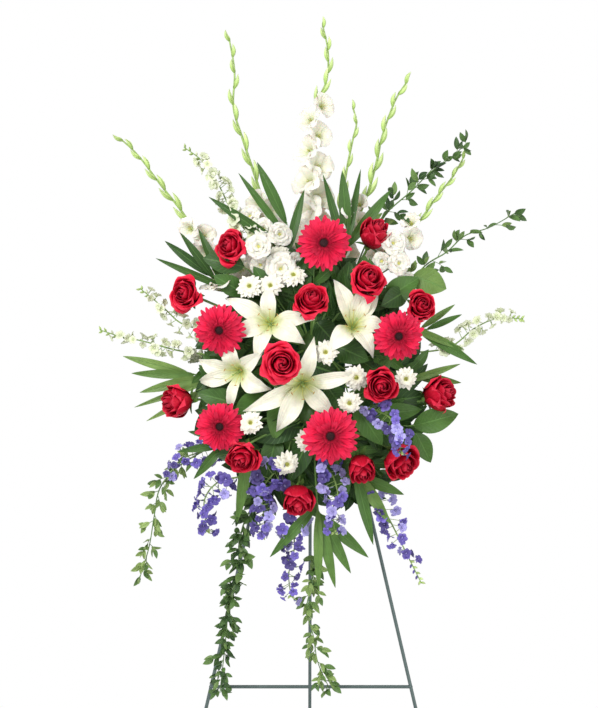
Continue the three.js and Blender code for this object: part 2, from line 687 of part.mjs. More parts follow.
const SPRIGS = {
  sprig_upper_right: {
    root: ["top", 44, -84],
    path: [
      [68, -74, 1150], [122, -62, 1262], [189, -78, 1325], [218, -94, 1354], [254, -96, 1379],
      [286, -96, 1408],
    ],
    leaves: { from: 0.36, count: 11, size: 28 },
  },
  sprig_right: {
    root: ["right", -46, 70],
    path: [
      [96, -72, 1086], [150, -84, 1120], [212, -92, 1186], [248, -92, 1208], [281, -92, 1238],
      [326, -92, 1253], [374, -92, 1280],
    ],
    leaves: { from: 0.42, count: 10, size: 32 },
  },
  sprig_lower_left: {
    root: ["left", -46, -60],
    path: [
      [-100, -84, 904], [-170, -92, 860], [-245, -96, 814], [-275, -98, 778], [-286, -98, 724],
      [-295, -98, 670], [-313, -98, 610],
    ],
    leaves: { from: 0.4, count: 12, size: 28 },
  },
  sprig_long: {
    root: ["bottom", -30, -42],
    path: [
      [-46, -94, 800], [-112, -112, 735], [-130, -120, 679], [-131, -130, 625], [-148, -140, 571],
      [-153, -146, 515], [-164, -150, 412],
    ],
    leaves: { from: 0.22, count: 14, size: 27 },
  },
  sprig_middle: {
    root: ["bottom", 10, -40],
    path: [
      [8, -98, 790], [12, -112, 690], [0, -126, 600], [-8, -136, 560], [4, -146, 515], [12, -150, 468],
      [34, -152, 418],
    ],
    leaves: { from: 0.5, count: 10, size: 30 },
  },
};

// Small white button flowers, several to a branching stem
const DAISIES = {
  daisies_upper: {
    root: ["front", -30, 84],
    fork: [-58, -124, 1100],
    heads: [
      [-112, -160, 1143], [-72, -160, 1146], [-31, -150, 1163], [-101, -128, 1206], [-56, -124, 1202],
    ],
  },
  daisies_right: {
    root: ["front", 42, 4],
    fork: [58, -142, 985],
    heads: [[81, -186, 979], [171, -176, 979], [70, -196, 934], [24, -186, 1026]],
  },
  daisies_lower: {
    root: ["front", -24, -84],
    fork: [-36, -150, 868],
    heads: [[-45, -178, 826], [-108, -184, 900], [-10, -190, 868]],
  },
};
const DAISY_WIDTH = 45;
const DAISY_PETALS = 8;
const DAISY_STEM_R = 2;

// Greens. Each frond is a stem from its bunch's heart with long leaves, each from a share of the stem's
// length to a tip. Broad leaves are given by their stalk end, tip and width.
const GREENS = {
  upper: {
    heart: [0, -137, 1035],
    root: ["front", 0, 52],
    fronds: [
      { path: [[-30, -128, 1130], [-52, -112, 1200], [-60, -102, 1262]], leaves: [
        { at: 1, tip: [-98, -98, 1372], width: 24 }, { at: 0.9, tip: [-128, -98, 1352], width: 16 },
        { at: 0.8, tip: [-186, -104, 1308], width: 22 }, { at: 0.75, tip: [-14, -96, 1322], width: 20 }] },
      { path: [[40, -128, 1130], [62, -104, 1200], [66, -92, 1240]], leaves: [
        { at: 1, tip: [57, -98, 1356], width: 26 }, { at: 0.9, tip: [147, -88, 1323], width: 24 },
        { at: 0.85, tip: [22, -92, 1350], width: 18 }, { at: 0.8, tip: [92, -62, 1362], width: 16 }] },
      { path: [[-90, -126, 1100], [-150, -112, 1140], [-186, -106, 1166]], leaves: [
        { at: 1, tip: [-266, -104, 1228], width: 20 }, { at: 0.95, tip: [-238, -112, 1243], width: 18 },
        { at: 0.85, tip: [-205, -100, 1250], width: 20 }, { at: 0.8, tip: [-282, -112, 1196], width: 16 }] },
      { path: [[100, -128, 1070], [170, -118, 1072], [214, -110, 1066]], leaves: [
        { at: 1, tip: [275, -104, 1094], width: 14 }, { at: 0.95, tip: [262, -110, 1112], width: 14 },
        { at: 0.9, tip: [302, -112, 1003], width: 22 }, { at: 0.85, tip: [278, -118, 1030], width: 16 }] },
    ],
    broad: [
      { from: [185, -112, 1165], tip: [250, -118, 1136], width: 52 },
      { from: [172, -124, 1136], tip: [126, -150, 1108], width: 38 },
      { from: [-118, -132, 1130], tip: [-176, -138, 1164], width: 36 },
      { from: [-60, -140, 1120], tip: [-100, -150, 1180], width: 34 },
      { from: [10, -140, 1080], tip: [50, -166, 1040], width: 44 },
      { from: [40, -140, 1040], tip: [104, -156, 1010], width: 46 },
      { from: [60, -128, 1130], tip: [70, -140, 1190], width: 36 },
      { from: [-30, -136, 1100], tip: [-50, -134, 1240], width: 34 },
      { from: [-6, -134, 1004], tip: [48, -136, 986], width: 52 },
      { from: [6, -130, 1066], tip: [44, -124, 1104], width: 44 },
    ],
  },
  lower: {
    heart: [0, -154, 915],
    root: ["front", 0, -64],
    fronds: [
      { path: [[-90, -138, 950], [-170, -124, 975], [-225, -114, 988]], leaves: [
        { at: 1, tip: [-342, -108, 1018], width: 20 }, { at: 0.95, tip: [-326, -112, 987], width: 20 },
        { at: 0.88, tip: [-311, -116, 952], width: 22 }, { at: 0.8, tip: [-321, -112, 925], width: 14 },
        { at: 0.74, tip: [-299, -114, 900], width: 16 }] },
      { path: [[-100, -140, 872], [-160, -130, 858]], leaves: [
        { at: 1, tip: [-212, -134, 796], width: 20 }, { at: 0.95, tip: [-240, -130, 846], width: 18 },
        { at: 0.8, tip: [-222, -136, 882], width: 22 }, { at: 0.7, tip: [-134, -134, 716], width: 26 }] },
      { path: [[60, -146, 850], [86, -134, 800]], leaves: [
        { at: 1, tip: [168, -138, 768], width: 24 }, { at: 0.95, tip: [143, -144, 716], width: 26 },
        { at: 0.9, tip: [112, -148, 678], width: 24 }] },
      { path: [[6, -150, 840], [10, -142, 770], [14, -134, 730]], leaves: [
        { at: 1, tip: [104, -134, 654], width: 26 }, { at: 0.98, tip: [72, -138, 626], width: 26 },
        { at: 0.96, tip: [44, -140, 600], width: 24 }, { at: 0.94, tip: [14, -142, 596], width: 20 },
        { at: 0.9, tip: [-74, -146, 656], width: 24 }] },
      { path: [[90, -146, 940], [150, -132, 960], [190, -124, 984]], leaves: [
        { at: 1, tip: [272, -130, 970], width: 20 }, { at: 0.9, tip: [270, -136, 1004], width: 16 }] },
    ],
    broad: [
      { from: [184, -138, 892], tip: [266, -142, 914], width: 44 },
      { from: [190, -136, 880], tip: [216, -142, 826], width: 34 },
      { from: [80, -152, 930], tip: [128, -158, 858], width: 42 },
      { from: [30, -152, 962], tip: [62, -170, 920], width: 40 },
      { from: [-50, -150, 950], tip: [-66, -160, 868], width: 44 },
      { from: [-84, -146, 948], tip: [-138, -150, 908], width: 44 },
      { from: [-120, -142, 930], tip: [-206, -140, 952], width: 40 },
      { from: [110, -140, 912], tip: [200, -142, 922], width: 34 },
      { from: [-60, -146, 880], tip: [-84, -150, 790], width: 40 },
      { from: [-14, -150, 892], tip: [-40, -142, 838], width: 44 },
      { from: [40, -148, 850], tip: [66, -150, 766], width: 38 },
    ],
  },
};

// Sprays and their parts, in the part's own frame

const curveThrough = (places) => new THREE.CatmullRomCurve3(places.map(([x, y, z]) => point(x, y, z)));

function sprayCurve({ root, path }) {
  const { outer } = rootAt(root);
  return curveThrough([outer.toArray(), ...path]);
}

// A stem's middle line as it is built, in straight steps, so that what stands on it has its foot inside it.
function stemLine(curve, steps) {
  const getPointAt = (t) => {
    const j = Math.min(Math.floor(t * steps), steps - 1);
    return curve.getPointAt(j / steps).lerp(curve.getPointAt((j + 1) / steps), t * steps - j);
  };
  return { getPointAt, getTangentAt: (t) => curve.getTangentAt(t) };
}

// A direction out of a stem, turned round it by an angle from the viewer's side.
function outwards(curve, t, angle) {
  const along = curve.getTangentAt(t);
  const front = VIEWER.clone().addScaledVector(along, -VIEWER.dot(along)).normalize();
  return front.applyAxisAngle(along, degrees(angle));
}

// A whole spray: its root, its stem and what stands along the stem's line.
function spray(spec, { rootR, tipR, steps, grow = 0 }, dress) {
  const curve = sprayCurve(spec);
  const body = stem(curve, { footR: rootR + grow, tipR: tipR + grow, steps, root: rootAt(spec.root) });
  return fuse([body, ...dress(stemLine(curve, steps))]);
}

// Places along a stem: shares of its length, evenly spaced.
const places = ({ from, to = 1, count }) =>
  Array.from({ length: count }, (_, i) => THREE.MathUtils.lerp(from, to, i / Math.max(count - 1, 1)));

function budsOn(curve, buds, { lean, width, grow }) {
  if (!buds) return [];
  return places(buds).map((t, i) => {
    const share = Math.min(t, 0.999);
    const base = curve.getPointAt(share);
    const shrink = 1 - 0.45 * (i / buds.count);
    const aside = outwards(curve, share, i % 2 ? 62 : -62);
    const way = curve.getTangentAt(share).multiplyScalar(1 - lean).addScaledVector(aside, lean).normalize();
    const tip = base.clone().addScaledVector(way, buds.length * shrink + grow);
    return bud(base.addScaledVector(way, -2), tip, width * buds.length * (0.55 + 0.45 * shrink) + 2 * grow);
  });
}

// A flower on the side of a stem: only the point of its back is inside the stem.
function sideFlower(flower, curve, t, turn, forward, lift, roll) {
  const way = outwards(curve, t, turn).addScaledVector(curve.getTangentAt(t), forward).normalize();
  const place = curve.getPointAt(t).addScaledVector(way, lift);
  return flower.transform(frameAt(place, way, roll).toArray());
}

function gladiolus(spec, grow = 0) {
  const { size: radius } = spec.florets;
  return spray(spec, { rootR: 3.6, tipR: 1.7, steps: 7, grow }, (curve) => [
    ...places(spec.florets).map((t, i) => {
      const flower = star({ petals: 6, radius, depth: 22, notch: 0.74, thickness: 9, grow });
      return sideFlower(flower, curve, t, i % 2 ? 38 : -38, 0.35, 1, i * 25);
    }),
    ...budsOn(curve, spec.buds, { lean: 0.3, width: 0.24, grow }),
  ]);
}

// Larkspur and delphinium: small stars in turn to the left, the front and the right of a slender stem.
const FLORET_TURN = 64;
const SPIKE_PETALS = 5;

function starSpike(spec, grow = 0) {
  return spray(spec, { rootR: 2.4, tipR: 1.2, steps: 6, grow }, (curve) => [
    ...places(spec.florets).map((t, i) => {
      const radius = spec.florets.size * (1 - 0.3 * (i / spec.florets.count));
      const flower = star({ petals: SPIKE_PETALS, radius, depth: 8, thickness: 4, grow });
      return sideFlower(flower, curve, Math.min(t, 0.995), ((i % 3) - 1) * FLORET_TURN, 0.25, 0.3, i * 31);
    }),
    ...budsOn(curve, spec.buds, { lean: 0.6, width: 0.6, grow }),
  ]);
}

// The middle surface of a leaf from its stalk end to its tip. Its face looks at the viewer, it arches a
// little and its edges rise.
function leafSurface(from, tip, width, { arch = 0.06, cup = 0.25 } = {}) {
  const along = tip.clone().sub(from);
  const side = along.clone().cross(VIEWER).normalize();
  const out = side.clone().cross(along).normalize();
  return (u, v) => {
    const half = (width / 2) * Math.sin(Math.PI * THREE.MathUtils.clamp(v, 0, 1) ** 0.85) ** 0.8;
    return from
      .clone()
      .addScaledVector(along, v)
      .addScaledVector(side, u * half)
      .addScaledVector(out, arch * along.length() * Math.sin(Math.PI * v) + cup * half * u * u);
  };
}

const leaf = (from, tip, width, options) => blade(leafSurface(from, tip, width, options), options);

function sprig(spec, grow = 0) {
  return spray(spec, { rootR: 2, tipR: 0.9, steps: 8, grow }, (curve) =>
    places({ from: spec.leaves.from, to: 0.99, count: spec.leaves.count }).map((t, i) => {
      const along = curve.getTangentAt(t);
      const way = outwards(curve, t, i % 2 ? 80 : -80).addScaledVector(along, 0.9).normalize();
      const from = curve.getPointAt(t).addScaledVector(way, -1);
      const tip = from.clone().addScaledVector(way, spec.leaves.size * (1 - 0.3 * t));
      return leaf(from, tip, spec.leaves.size * 0.46, { thickness: 1.4, grow, rows: 2 });
    }),
  );
}

function daisySpray({ root, fork, heads }, grow = 0) {
  const ends = rootAt(root);
  const split = point(...fork);
  const main = new THREE.LineCurve3(ends.outer, split);
  const parts = [stem(main, { footR: DAISY_STEM_R + grow, steps: 1, root: ends })];
  const knot = [3.4, -3.4].map((y) => split.clone().add(point(0, y, 0)));
  parts.push(bud(...knot, 6 + grow, { sides: 4 }));
  for (const place of heads) {
    const head = point(...place);
    const way = head.clone().sub(split).normalize().addScaledVector(VIEWER, 1.6).normalize();
    const base = head.clone().addScaledVector(way, -8);
    const bend = base.clone().addScaledVector(way, -14);
    const stalk = new THREE.QuadraticBezierCurve3(split, bend, base.clone().addScaledVector(way, 1));
    parts.push(stem(stalk, { footR: 1.5 + grow, steps: 1 }));
    const form = { petals: DAISY_PETALS, radius: DAISY_WIDTH / 2, depth: 6, notch: 0.68, thickness: 6 };
    parts.push(star({ ...form, grow }).transform(frameAt(base, way).toArray()));
  }
  return fuse(parts);
}

// A bunch of greens: a dense heart, the fronds and broad leaves that stand out of it, and the stems of the
// blooms.
const HEART_R = 27;
const HEART_ROOT_R = 9;
const HEART_ROOT_SIDES = 4;
const FROND_STEPS = 3;

function greens({ heart, root, fronds, broad }, stems, grow = 0) {
  const centre = point(...heart);
  const parts = [
    solidOf(new THREE.IcosahedronGeometry(HEART_R + grow, 0), new THREE.Matrix4().makeTranslation(centre)),
    stem(new THREE.LineCurve3(rootAt(root).outer, centre), {
      footR: HEART_ROOT_R + grow, sides: HEART_ROOT_SIDES, steps: 1, root: rootAt(root),
    }),
  ];
  for (const { path, leaves } of fronds) {
    const curve = curveThrough([heart, ...path]);
    const line = stemLine(curve, FROND_STEPS);
    parts.push(stem(curve, { footR: 2.2 + grow, tipR: 1.6 + grow, steps: FROND_STEPS }));
    for (const { at, tip, width } of leaves) {
      parts.push(leaf(line.getPointAt(at * 0.98), point(...tip), width, { rows: 2, grow }));
    }
  }
  for (const { from, tip, width } of broad) {
    const options = { arch: 0.1, cup: 0.15, thickness: 1.5, grow };
    const surface = leafSurface(point(...from), point(...tip), width, options);
    const stalk = new THREE.QuadraticBezierCurve3(centre, point(...from), surface(0, 0.3));
    parts.push(stem(stalk, { footR: 1.8 + grow, tipR: 1.4 + grow, steps: 2 }), blade(surface, options));
  }
  for (const { base, way, radius, via } of stems) {
    const neck = base.clone().addScaledVector(way, -16);
    const bend = neck.clone().lerp(centre, 0.5).addScaledVector(way, -6);
    const end = base.clone().addScaledVector(way, -GAP);
    const curve = new THREE.CatmullRomCurve3([centre, ...(via ? [point(...via)] : [bend, neck]), end]);
    parts.push(stem(curve, { footR: radius + grow, steps: via ? 5 : 2 }));
  }
  return fuse(parts);
}

// The easel

const legX = (z) => BEND_R + WIRE_R + (EASEL_TOP - BEND_R - z) * SPLAY;
const onFrame = (x, z) => point(x, framePlaneY(z), z);
const hingePlace = onFrame(0, HINGE_Z);
const WIRE_SIDES = 8;
const CROSS_R = WIRE_R * 0.95;

// A wire's lower end cut level with the floor.
const aboveFloor = (solid) => solid.subtract(box(2000, 2000, 200, 0, 0, -100));

function frontLeg(side) {
  const top = HEAD_FOOT_Z - GAP;
  const [upper, lower] = [top, -20].map((z) => onFrame(side * legX(z), z));
  return aboveFloor(straight(upper, lower, WIRE_R, WIRE_SIDES));
}

// The bent head of the front frame, with the hinge wire and the wire that the holder hooks on.
const BEND_STEPS = 8;

function easelHead() {
  const bendZ = EASEL_TOP - BEND_R;
  const arch = Array.from({ length: BEND_STEPS + 1 }, (_, i) => {
    const angle = (i / BEND_STEPS) * Math.PI;
    return onFrame(-legX(bendZ) * Math.cos(angle), bendZ + BEND_R * Math.sin(angle));
  });
  const foot = legX(HEAD_FOOT_Z);
  const line = [onFrame(-foot, HEAD_FOOT_Z), ...arch, onFrame(foot, HEAD_FOOT_Z)];
  const rung = (z) => straight(onFrame(-legX(z), z), onFrame(legX(z), z), CROSS_R, WIRE_SIDES);
  const bend = bentWire(line, point(0, -Math.cos(LEAN), Math.sin(LEAN)), WIRE_R, WIRE_SIDES);
  return fuse([bend, rung(HINGE_Z), rung(HOOK_WIRE_Z)]);
}

function crossWire(z) {
  const end = legX(z + WIRE_R) - WIRE_R / Math.cos(Math.atan(SPLAY)) - GAP;
  return straight(onFrame(-end, z), onFrame(end, z), WIRE_R, WIRE_SIDES);
}

// The back leg: a straight wire with an eye round the hinge wire, and a short tail that the bend stops from
// behind when the leg is open.
function backLeg() {
  const way = point(0, Math.sin(BACK_SWING), -Math.cos(BACK_SWING));
  const start = hingePlace.clone().addScaledVector(way, EYE_HOLE_R + WIRE_R);
  const end = start.clone().addScaledVector(way, (start.z + 20) / Math.cos(BACK_SWING));
  const ring = (radius) =>
    solidOf(
      new THREE.CylinderGeometry(radius, radius, 2 * WIRE_R, EYE_SIDES),
      new THREE.Matrix4().makeRotationZ(Math.PI / 2).setPosition(hingePlace),
    );
  const toBend = (EASEL_TOP - HINGE_Z) / Math.cos(LEAN);
  const tailAngle = LEAN + Math.asin((WIRE_R + TAIL_R + GAP) / toBend);
  const tailWay = point(0, Math.sin(tailAngle), Math.cos(tailAngle));
  const tailPlace = (distance) => hingePlace.clone().addScaledVector(tailWay, distance);
  const tail = straight(tailPlace(EYE_HOLE_R + WIRE_R / 2), tailPlace(TAIL_LENGTH), TAIL_R, WIRE_SIDES);
  const leg = straight(start.clone().addScaledVector(way, -2), end, WIRE_R, WIRE_SIDES);
  const hole = ring(EYE_HOLE_R).scale([1.2, 1, 1]);
  return aboveFloor(fuse([leg, tail, ring(EYE_HOLE_R + WIRE_R)]).subtract(hole));
}

// The foam and its holder, in the holder's frame

function holderTray() {
  const inside = point(FOAM.x + 2 * GAP, TRAY_RIM, FOAM.z + 2 * GAP);
  const outside = inside.clone().add(point(2 * TRAY_WALL, 0, 2 * TRAY_WALL));
  const middleY = TRAY_BACK_Y - TRAY_RIM / 2;
  const shell = box(outside.x, TRAY_RIM, outside.z, 0, middleY, 0).subtract(
    box(inside.x, TRAY_RIM, inside.z, 0, middleY - TRAY_WALL, 0),
  );
  const wireZ = (HOOK_WIRE_Z - FOAM_MIDDLE_Z) / Math.cos(LEAN);
  const reach = WIRE_R + GAP;
  const hooks = [-12, 12].flatMap((x) => [
    box(7, reach - TRAY_BACK_Y + 3, 3, x, (reach + 3 + TRAY_BACK_Y) / 2, wireZ + reach + 1.5),
    box(7, 3, 10, x, reach + 1.5, wireZ + reach - 2),
  ]);
  return fuse([shell, ...hooks]).transform(HOLDER.toArray());
}

function tape(z) {
  const [front, back] = [FOAM_FRONT_Y - GAP, TRAY_BACK_Y + GAP];
  const width = FOAM.x + 4 * GAP + 2 * TRAY_WALL;
  const middleY = (front + back) / 2;
  const spare = 2 * TAPE_THICKNESS;
  const outside = box(width + spare, back - front + spare, TAPE_WIDTH, 0, middleY, z);
  const inside = box(width, back - front, TAPE_WIDTH + 1, 0, middleY, z);
  return outside.subtract(inside).transform(HOLDER.toArray());
}

function foamBlock(holes) {
  const block = box(FOAM.x, FOAM.y, FOAM.z, 0, FOAM_BACK_Y - FOAM.y / 2, 0).transform(HOLDER.toArray());
  return holes.reduce((foam, hole) => foam.subtract(hole), block);
}

// Putting it together

const arrangement = new THREE.Group();

function addNode(name, solid, colour, roughness = 0.6, metalness = 0) {
  const material = new THREE.MeshStandardMaterial({ color: colour, roughness, metalness });
  const mesh = new THREE.Mesh(geometryOf(mainBody(solid)), material);
  mesh.name = name;
  arrangement.add(mesh);
}

// A bloom's frame: its base is half its depth behind its stated middle.
function bloomFrame({ x, y, z, yaw, pitch, roll = 0 }, depth) {
  const way = facing(yaw, pitch);
  const base = point(x, y, z).addScaledVector(way, -depth / 2);
  return { base, way, matrix: frameAt(base, way, roll) };
}

// Pieces are put in place one after another, and each is cut back from the room that the earlier ones take
// up.
const ROOM = 0.6;
const taken = [];

function placePiece(name, colour, build) {
  const { min, max } = build(0).boundingBox();
  const near = taken.filter(({ box: other }) =>
    [0, 1, 2].every((i) => min[i] < other.max[i] && max[i] > other.min[i]),
  );
  addNode(name, near.reduce((solid, { room }) => solid.subtract(room), build(0)), colour);
  const room = build(ROOM);
  taken.push({ room, box: room.boundingBox() });
}

// A bloom's stem belongs to the upper or the lower bunch of greens by the bloom's height.
const SIDES_MEET_Z = 1000;
const stems = { upper: [], lower: [] };

function placeBlooms(specs, colour, stemR, depthOf, form, room = form) {
  for (const [name, spec] of Object.entries(specs)) {
    const { base, way, matrix } = bloomFrame(spec, depthOf(spec));
    placePiece(name, colour, (grow) => (grow ? room : form)(spec, grow).transform(matrix.toArray()));
    stems[spec.z > SIDES_MEET_Z ? "upper" : "lower"].push({ base, way, radius: stemR, via: spec.via });
  }
}

const holes = [];
function placeSprays(specs, colour, rootR, form) {
  for (const [name, spec] of Object.entries(specs)) {
    placePiece(name, colour, (grow) => form(spec, grow));
    holes.push(holeSolid(rootAt(spec.root), rootR, 3));
  }
}

placeBlooms(ROSES, COLOURS.red, 2.4, (spec) => spec.height, roseHead, roseSpace);
placeBlooms(GERBERAS, COLOURS.red, 2.6, () => GERBERA_DEPTH, gerberaHead, gerberaSpace);
placeBlooms(LILIES, COLOURS.white, 2.6, (spec) => spec.depth, lilyHead);
placeSprays(GLADIOLI, COLOURS.bud, 3.6, gladiolus);
placeSprays(LARKSPURS, COLOURS.larkspur, 2.4, starSpike);
placeSprays(DELPHINIUMS, COLOURS.blue, 2.4, starSpike);
placeSprays(DAISIES, COLOURS.white, DAISY_STEM_R, daisySpray);
placeSprays(SPRIGS, COLOURS.sprig, 2, sprig);
for (const [side, spec] of Object.entries(GREENS)) {
  placePiece(`greens_${side}`, COLOURS.leaf, (grow) => greens(spec, stems[side], grow));
  holes.push(holeSolid(rootAt(spec.root), HEART_ROOT_R, HEART_ROOT_SIDES));
}

addNode("easel_leg_left", frontLeg(-1), COLOURS.wire, 0.45, 0.7);
addNode("easel_leg_right", frontLeg(1), COLOURS.wire, 0.45, 0.7);
addNode("easel_head", easelHead(), COLOURS.wire, 0.45, 0.7);
addNode("easel_rest_wire", crossWire(REST_WIRE_Z), COLOURS.wire, 0.45, 0.7);
addNode("easel_cross_wire", crossWire(CROSS_WIRE_Z), COLOURS.wire, 0.45, 0.7);
addNode("easel_leg_back", backLeg(), COLOURS.wire, 0.45, 0.7);
addNode("holder_tray", holderTray(), COLOURS.tray);
addNode("tape_upper", tape(TAPE_HEIGHT), COLOURS.tape);
addNode("tape_lower", tape(-TAPE_HEIGHT), COLOURS.tape);

addNode("foam_block", foamBlock(holes), COLOURS.foam);

// The origin is on the floor under the middle of the whole part.
const extent = new THREE.Box3().setFromObject(arrangement);
const middle = extent.getCenter(new THREE.Vector3());
arrangement.position.set(-middle.x, -middle.y, -extent.min.z);

const part = new THREE.Group();
part.add(arrangement);

export default part;
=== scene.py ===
import math
import random

import bpy
import numpy as np
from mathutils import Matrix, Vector


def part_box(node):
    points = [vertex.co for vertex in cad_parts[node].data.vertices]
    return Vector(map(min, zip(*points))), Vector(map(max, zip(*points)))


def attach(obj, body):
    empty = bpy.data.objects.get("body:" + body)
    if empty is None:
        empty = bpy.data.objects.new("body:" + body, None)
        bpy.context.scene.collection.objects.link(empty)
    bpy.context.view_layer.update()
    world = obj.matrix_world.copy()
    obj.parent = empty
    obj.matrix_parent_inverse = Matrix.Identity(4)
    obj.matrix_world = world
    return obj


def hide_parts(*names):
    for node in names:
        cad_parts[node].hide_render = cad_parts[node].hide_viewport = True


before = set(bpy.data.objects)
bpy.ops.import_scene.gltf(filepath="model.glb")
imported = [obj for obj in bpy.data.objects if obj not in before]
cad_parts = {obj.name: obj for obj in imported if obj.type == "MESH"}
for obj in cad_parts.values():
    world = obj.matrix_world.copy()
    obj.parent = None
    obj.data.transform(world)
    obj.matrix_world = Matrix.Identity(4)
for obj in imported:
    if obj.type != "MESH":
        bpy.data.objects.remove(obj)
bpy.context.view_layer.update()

MM = 0.001

# The easel, as in the part's source
WIRE_R = 3.2
LEAN = math.radians(8)
SPLAY = 0.2308  # a leg's run outwards for each millimetre down
EASEL_TOP = 1150
BEND_R = 12
HINGE_Z = 1128
HOOK_WIRE_Z = 1064
HEAD_FOOT_Z = 1050
REST_WIRE_Z = 872
CROSS_WIRE_Z = 416
BACK_SWING = math.radians(20)
EYE_R = 3.8 + WIRE_R / 2  # the middle of the ring round the hinge wire
TAIL_R = 2.6
TAIL_LENGTH = 30
TAIL_GAP = 0.3
WIRE_END_Z = 1.2  # where the legs' wires end above the floor

# The foam: width, depth and height, its middle's height and its back face
FOAM = (120, 85, 260)
FOAM_MIDDLE_Z = 980
FOAM_BACK_Y = -9.1
ROOT_DEPTH = 26
ROOT_OUT = 4  # how far a root starts outside the foam

GOLDEN = math.pi * (3 - math.sqrt(5))  # radians from one petal to the next, so that none lie in rows
SPIRAL = 137.5  # the same in degrees, for what stands along a stem
SHARP_ANGLE = math.radians(60)  # faces that meet at more than this are shaded apart
THIN = 0.05  # the least radius of a tube, so that none closes to a point
PETAL_THICK = 0.9
LILY_THICK = 1.2
LINE_STEPS = 24  # points between two places of a curve
LOOK_AHEAD = 0.01  # the share of a curve over which its direction is taken


def vec(*numbers):
    return np.array(numbers, float)


UP = vec(0, 0, 1)
VIEWER = vec(0, -1, 0)


def unit(a):
    return a / max(np.linalg.norm(a), 1e-9)


def turned(a, axis, degrees):
    """A vector turned about an axis."""
    angle = math.radians(degrees)
    axis = unit(axis)
    across = np.cross(axis, a)
    return a * math.cos(angle) + across * math.sin(angle) + axis * axis.dot(a) * (1 - math.cos(angle))


def by_turns(i, size):
    """A size to one side and to the other by turns."""
    return size if i % 2 else -size


def on_frame(x, z):
    """A place in the plane in which the easel's front leans back."""
    return vec(x, -(EASEL_TOP - z) * math.tan(LEAN), z)


# The move from the part's millimetres to the frame, read from the cross wire's middle
low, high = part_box("easel_cross_wire")
ORIGIN = (vec(*low) + vec(*high)) / 2 - on_frame(0, CROSS_WIRE_Z) * MM


class Line:
    """A smooth curve through places, read by the share of its length."""

    def __init__(self, places):
        p = np.array(places, float)
        padded = np.vstack([2 * p[0] - p[1], p, 2 * p[-1] - p[-2]])
        s = np.linspace(0, 1, LINE_STEPS, endpoint=False)[:, None]
        parts = []
        for a, b, c, d in zip(padded, padded[1:], padded[2:], padded[3:]):
            before, here, after = (max(np.linalg.norm(q), 1e-6) ** 0.5 for q in (b - a, c - b, d - c))
            leave = here * ((b - a) / before - (c - a) / (before + here) + (c - b) / here)
            arrive = here * ((c - b) / here - (d - b) / (here + after) + (d - c) / after)
            ends = (2 * s**3 - 3 * s**2 + 1) * b + (3 * s**2 - 2 * s**3) * c
            parts.append(ends + (s**3 - 2 * s**2 + s) * leave + (s**3 - s**2) * arrive)
        self.points = np.vstack([*parts, p[-1:]])
        steps = np.linalg.norm(np.diff(self.points, axis=0), axis=1)
        self.marks = np.concatenate([[0], np.cumsum(steps)])
        self.length = self.marks[-1]

    def at(self, t):
        far = min(max(t, 0), 1) * self.length
        return vec(*(np.interp(far, self.marks, self.points[:, i]) for i in range(3)))

    def along(self, t):
        after = t + LOOK_AHEAD if t < 1 - LOOK_AHEAD else 1
        before = t - LOOK_AHEAD if t > LOOK_AHEAD else 0
        return unit(self.at(after) - self.at(before))

    def outwards(self, t, degrees):
        """A direction out of the curve, turned round it from the viewer's side."""
        along = self.along(t)
        return turned(unit(VIEWER - along * VIEWER.dot(along)), along, degrees)


def facing(yaw, pitch):
    a, b = math.radians(yaw), math.radians(pitch)
    return vec(math.sin(a) * math.cos(b), -math.cos(a) * math.cos(b), math.sin(b))


class Place:
    """An origin and three axes. The third axis is the way that a flower faces."""

    def __init__(self, origin, way, roll=0):
        z = unit(way)
        x = np.cross(UP, z)
        x = unit(x) if np.linalg.norm(x) > 1e-3 else vec(1, 0, 0)
        self.origin = origin
        self.way = z
        self.axes = np.array([turned(x, z, roll), turned(np.cross(z, x), z, roll), z])

    def set(self, local):
        return self.origin + np.asarray(local, float) @ self.axes


HERE = Place(vec(0, 0, 0), UP)
HERE.axes = np.eye(3)


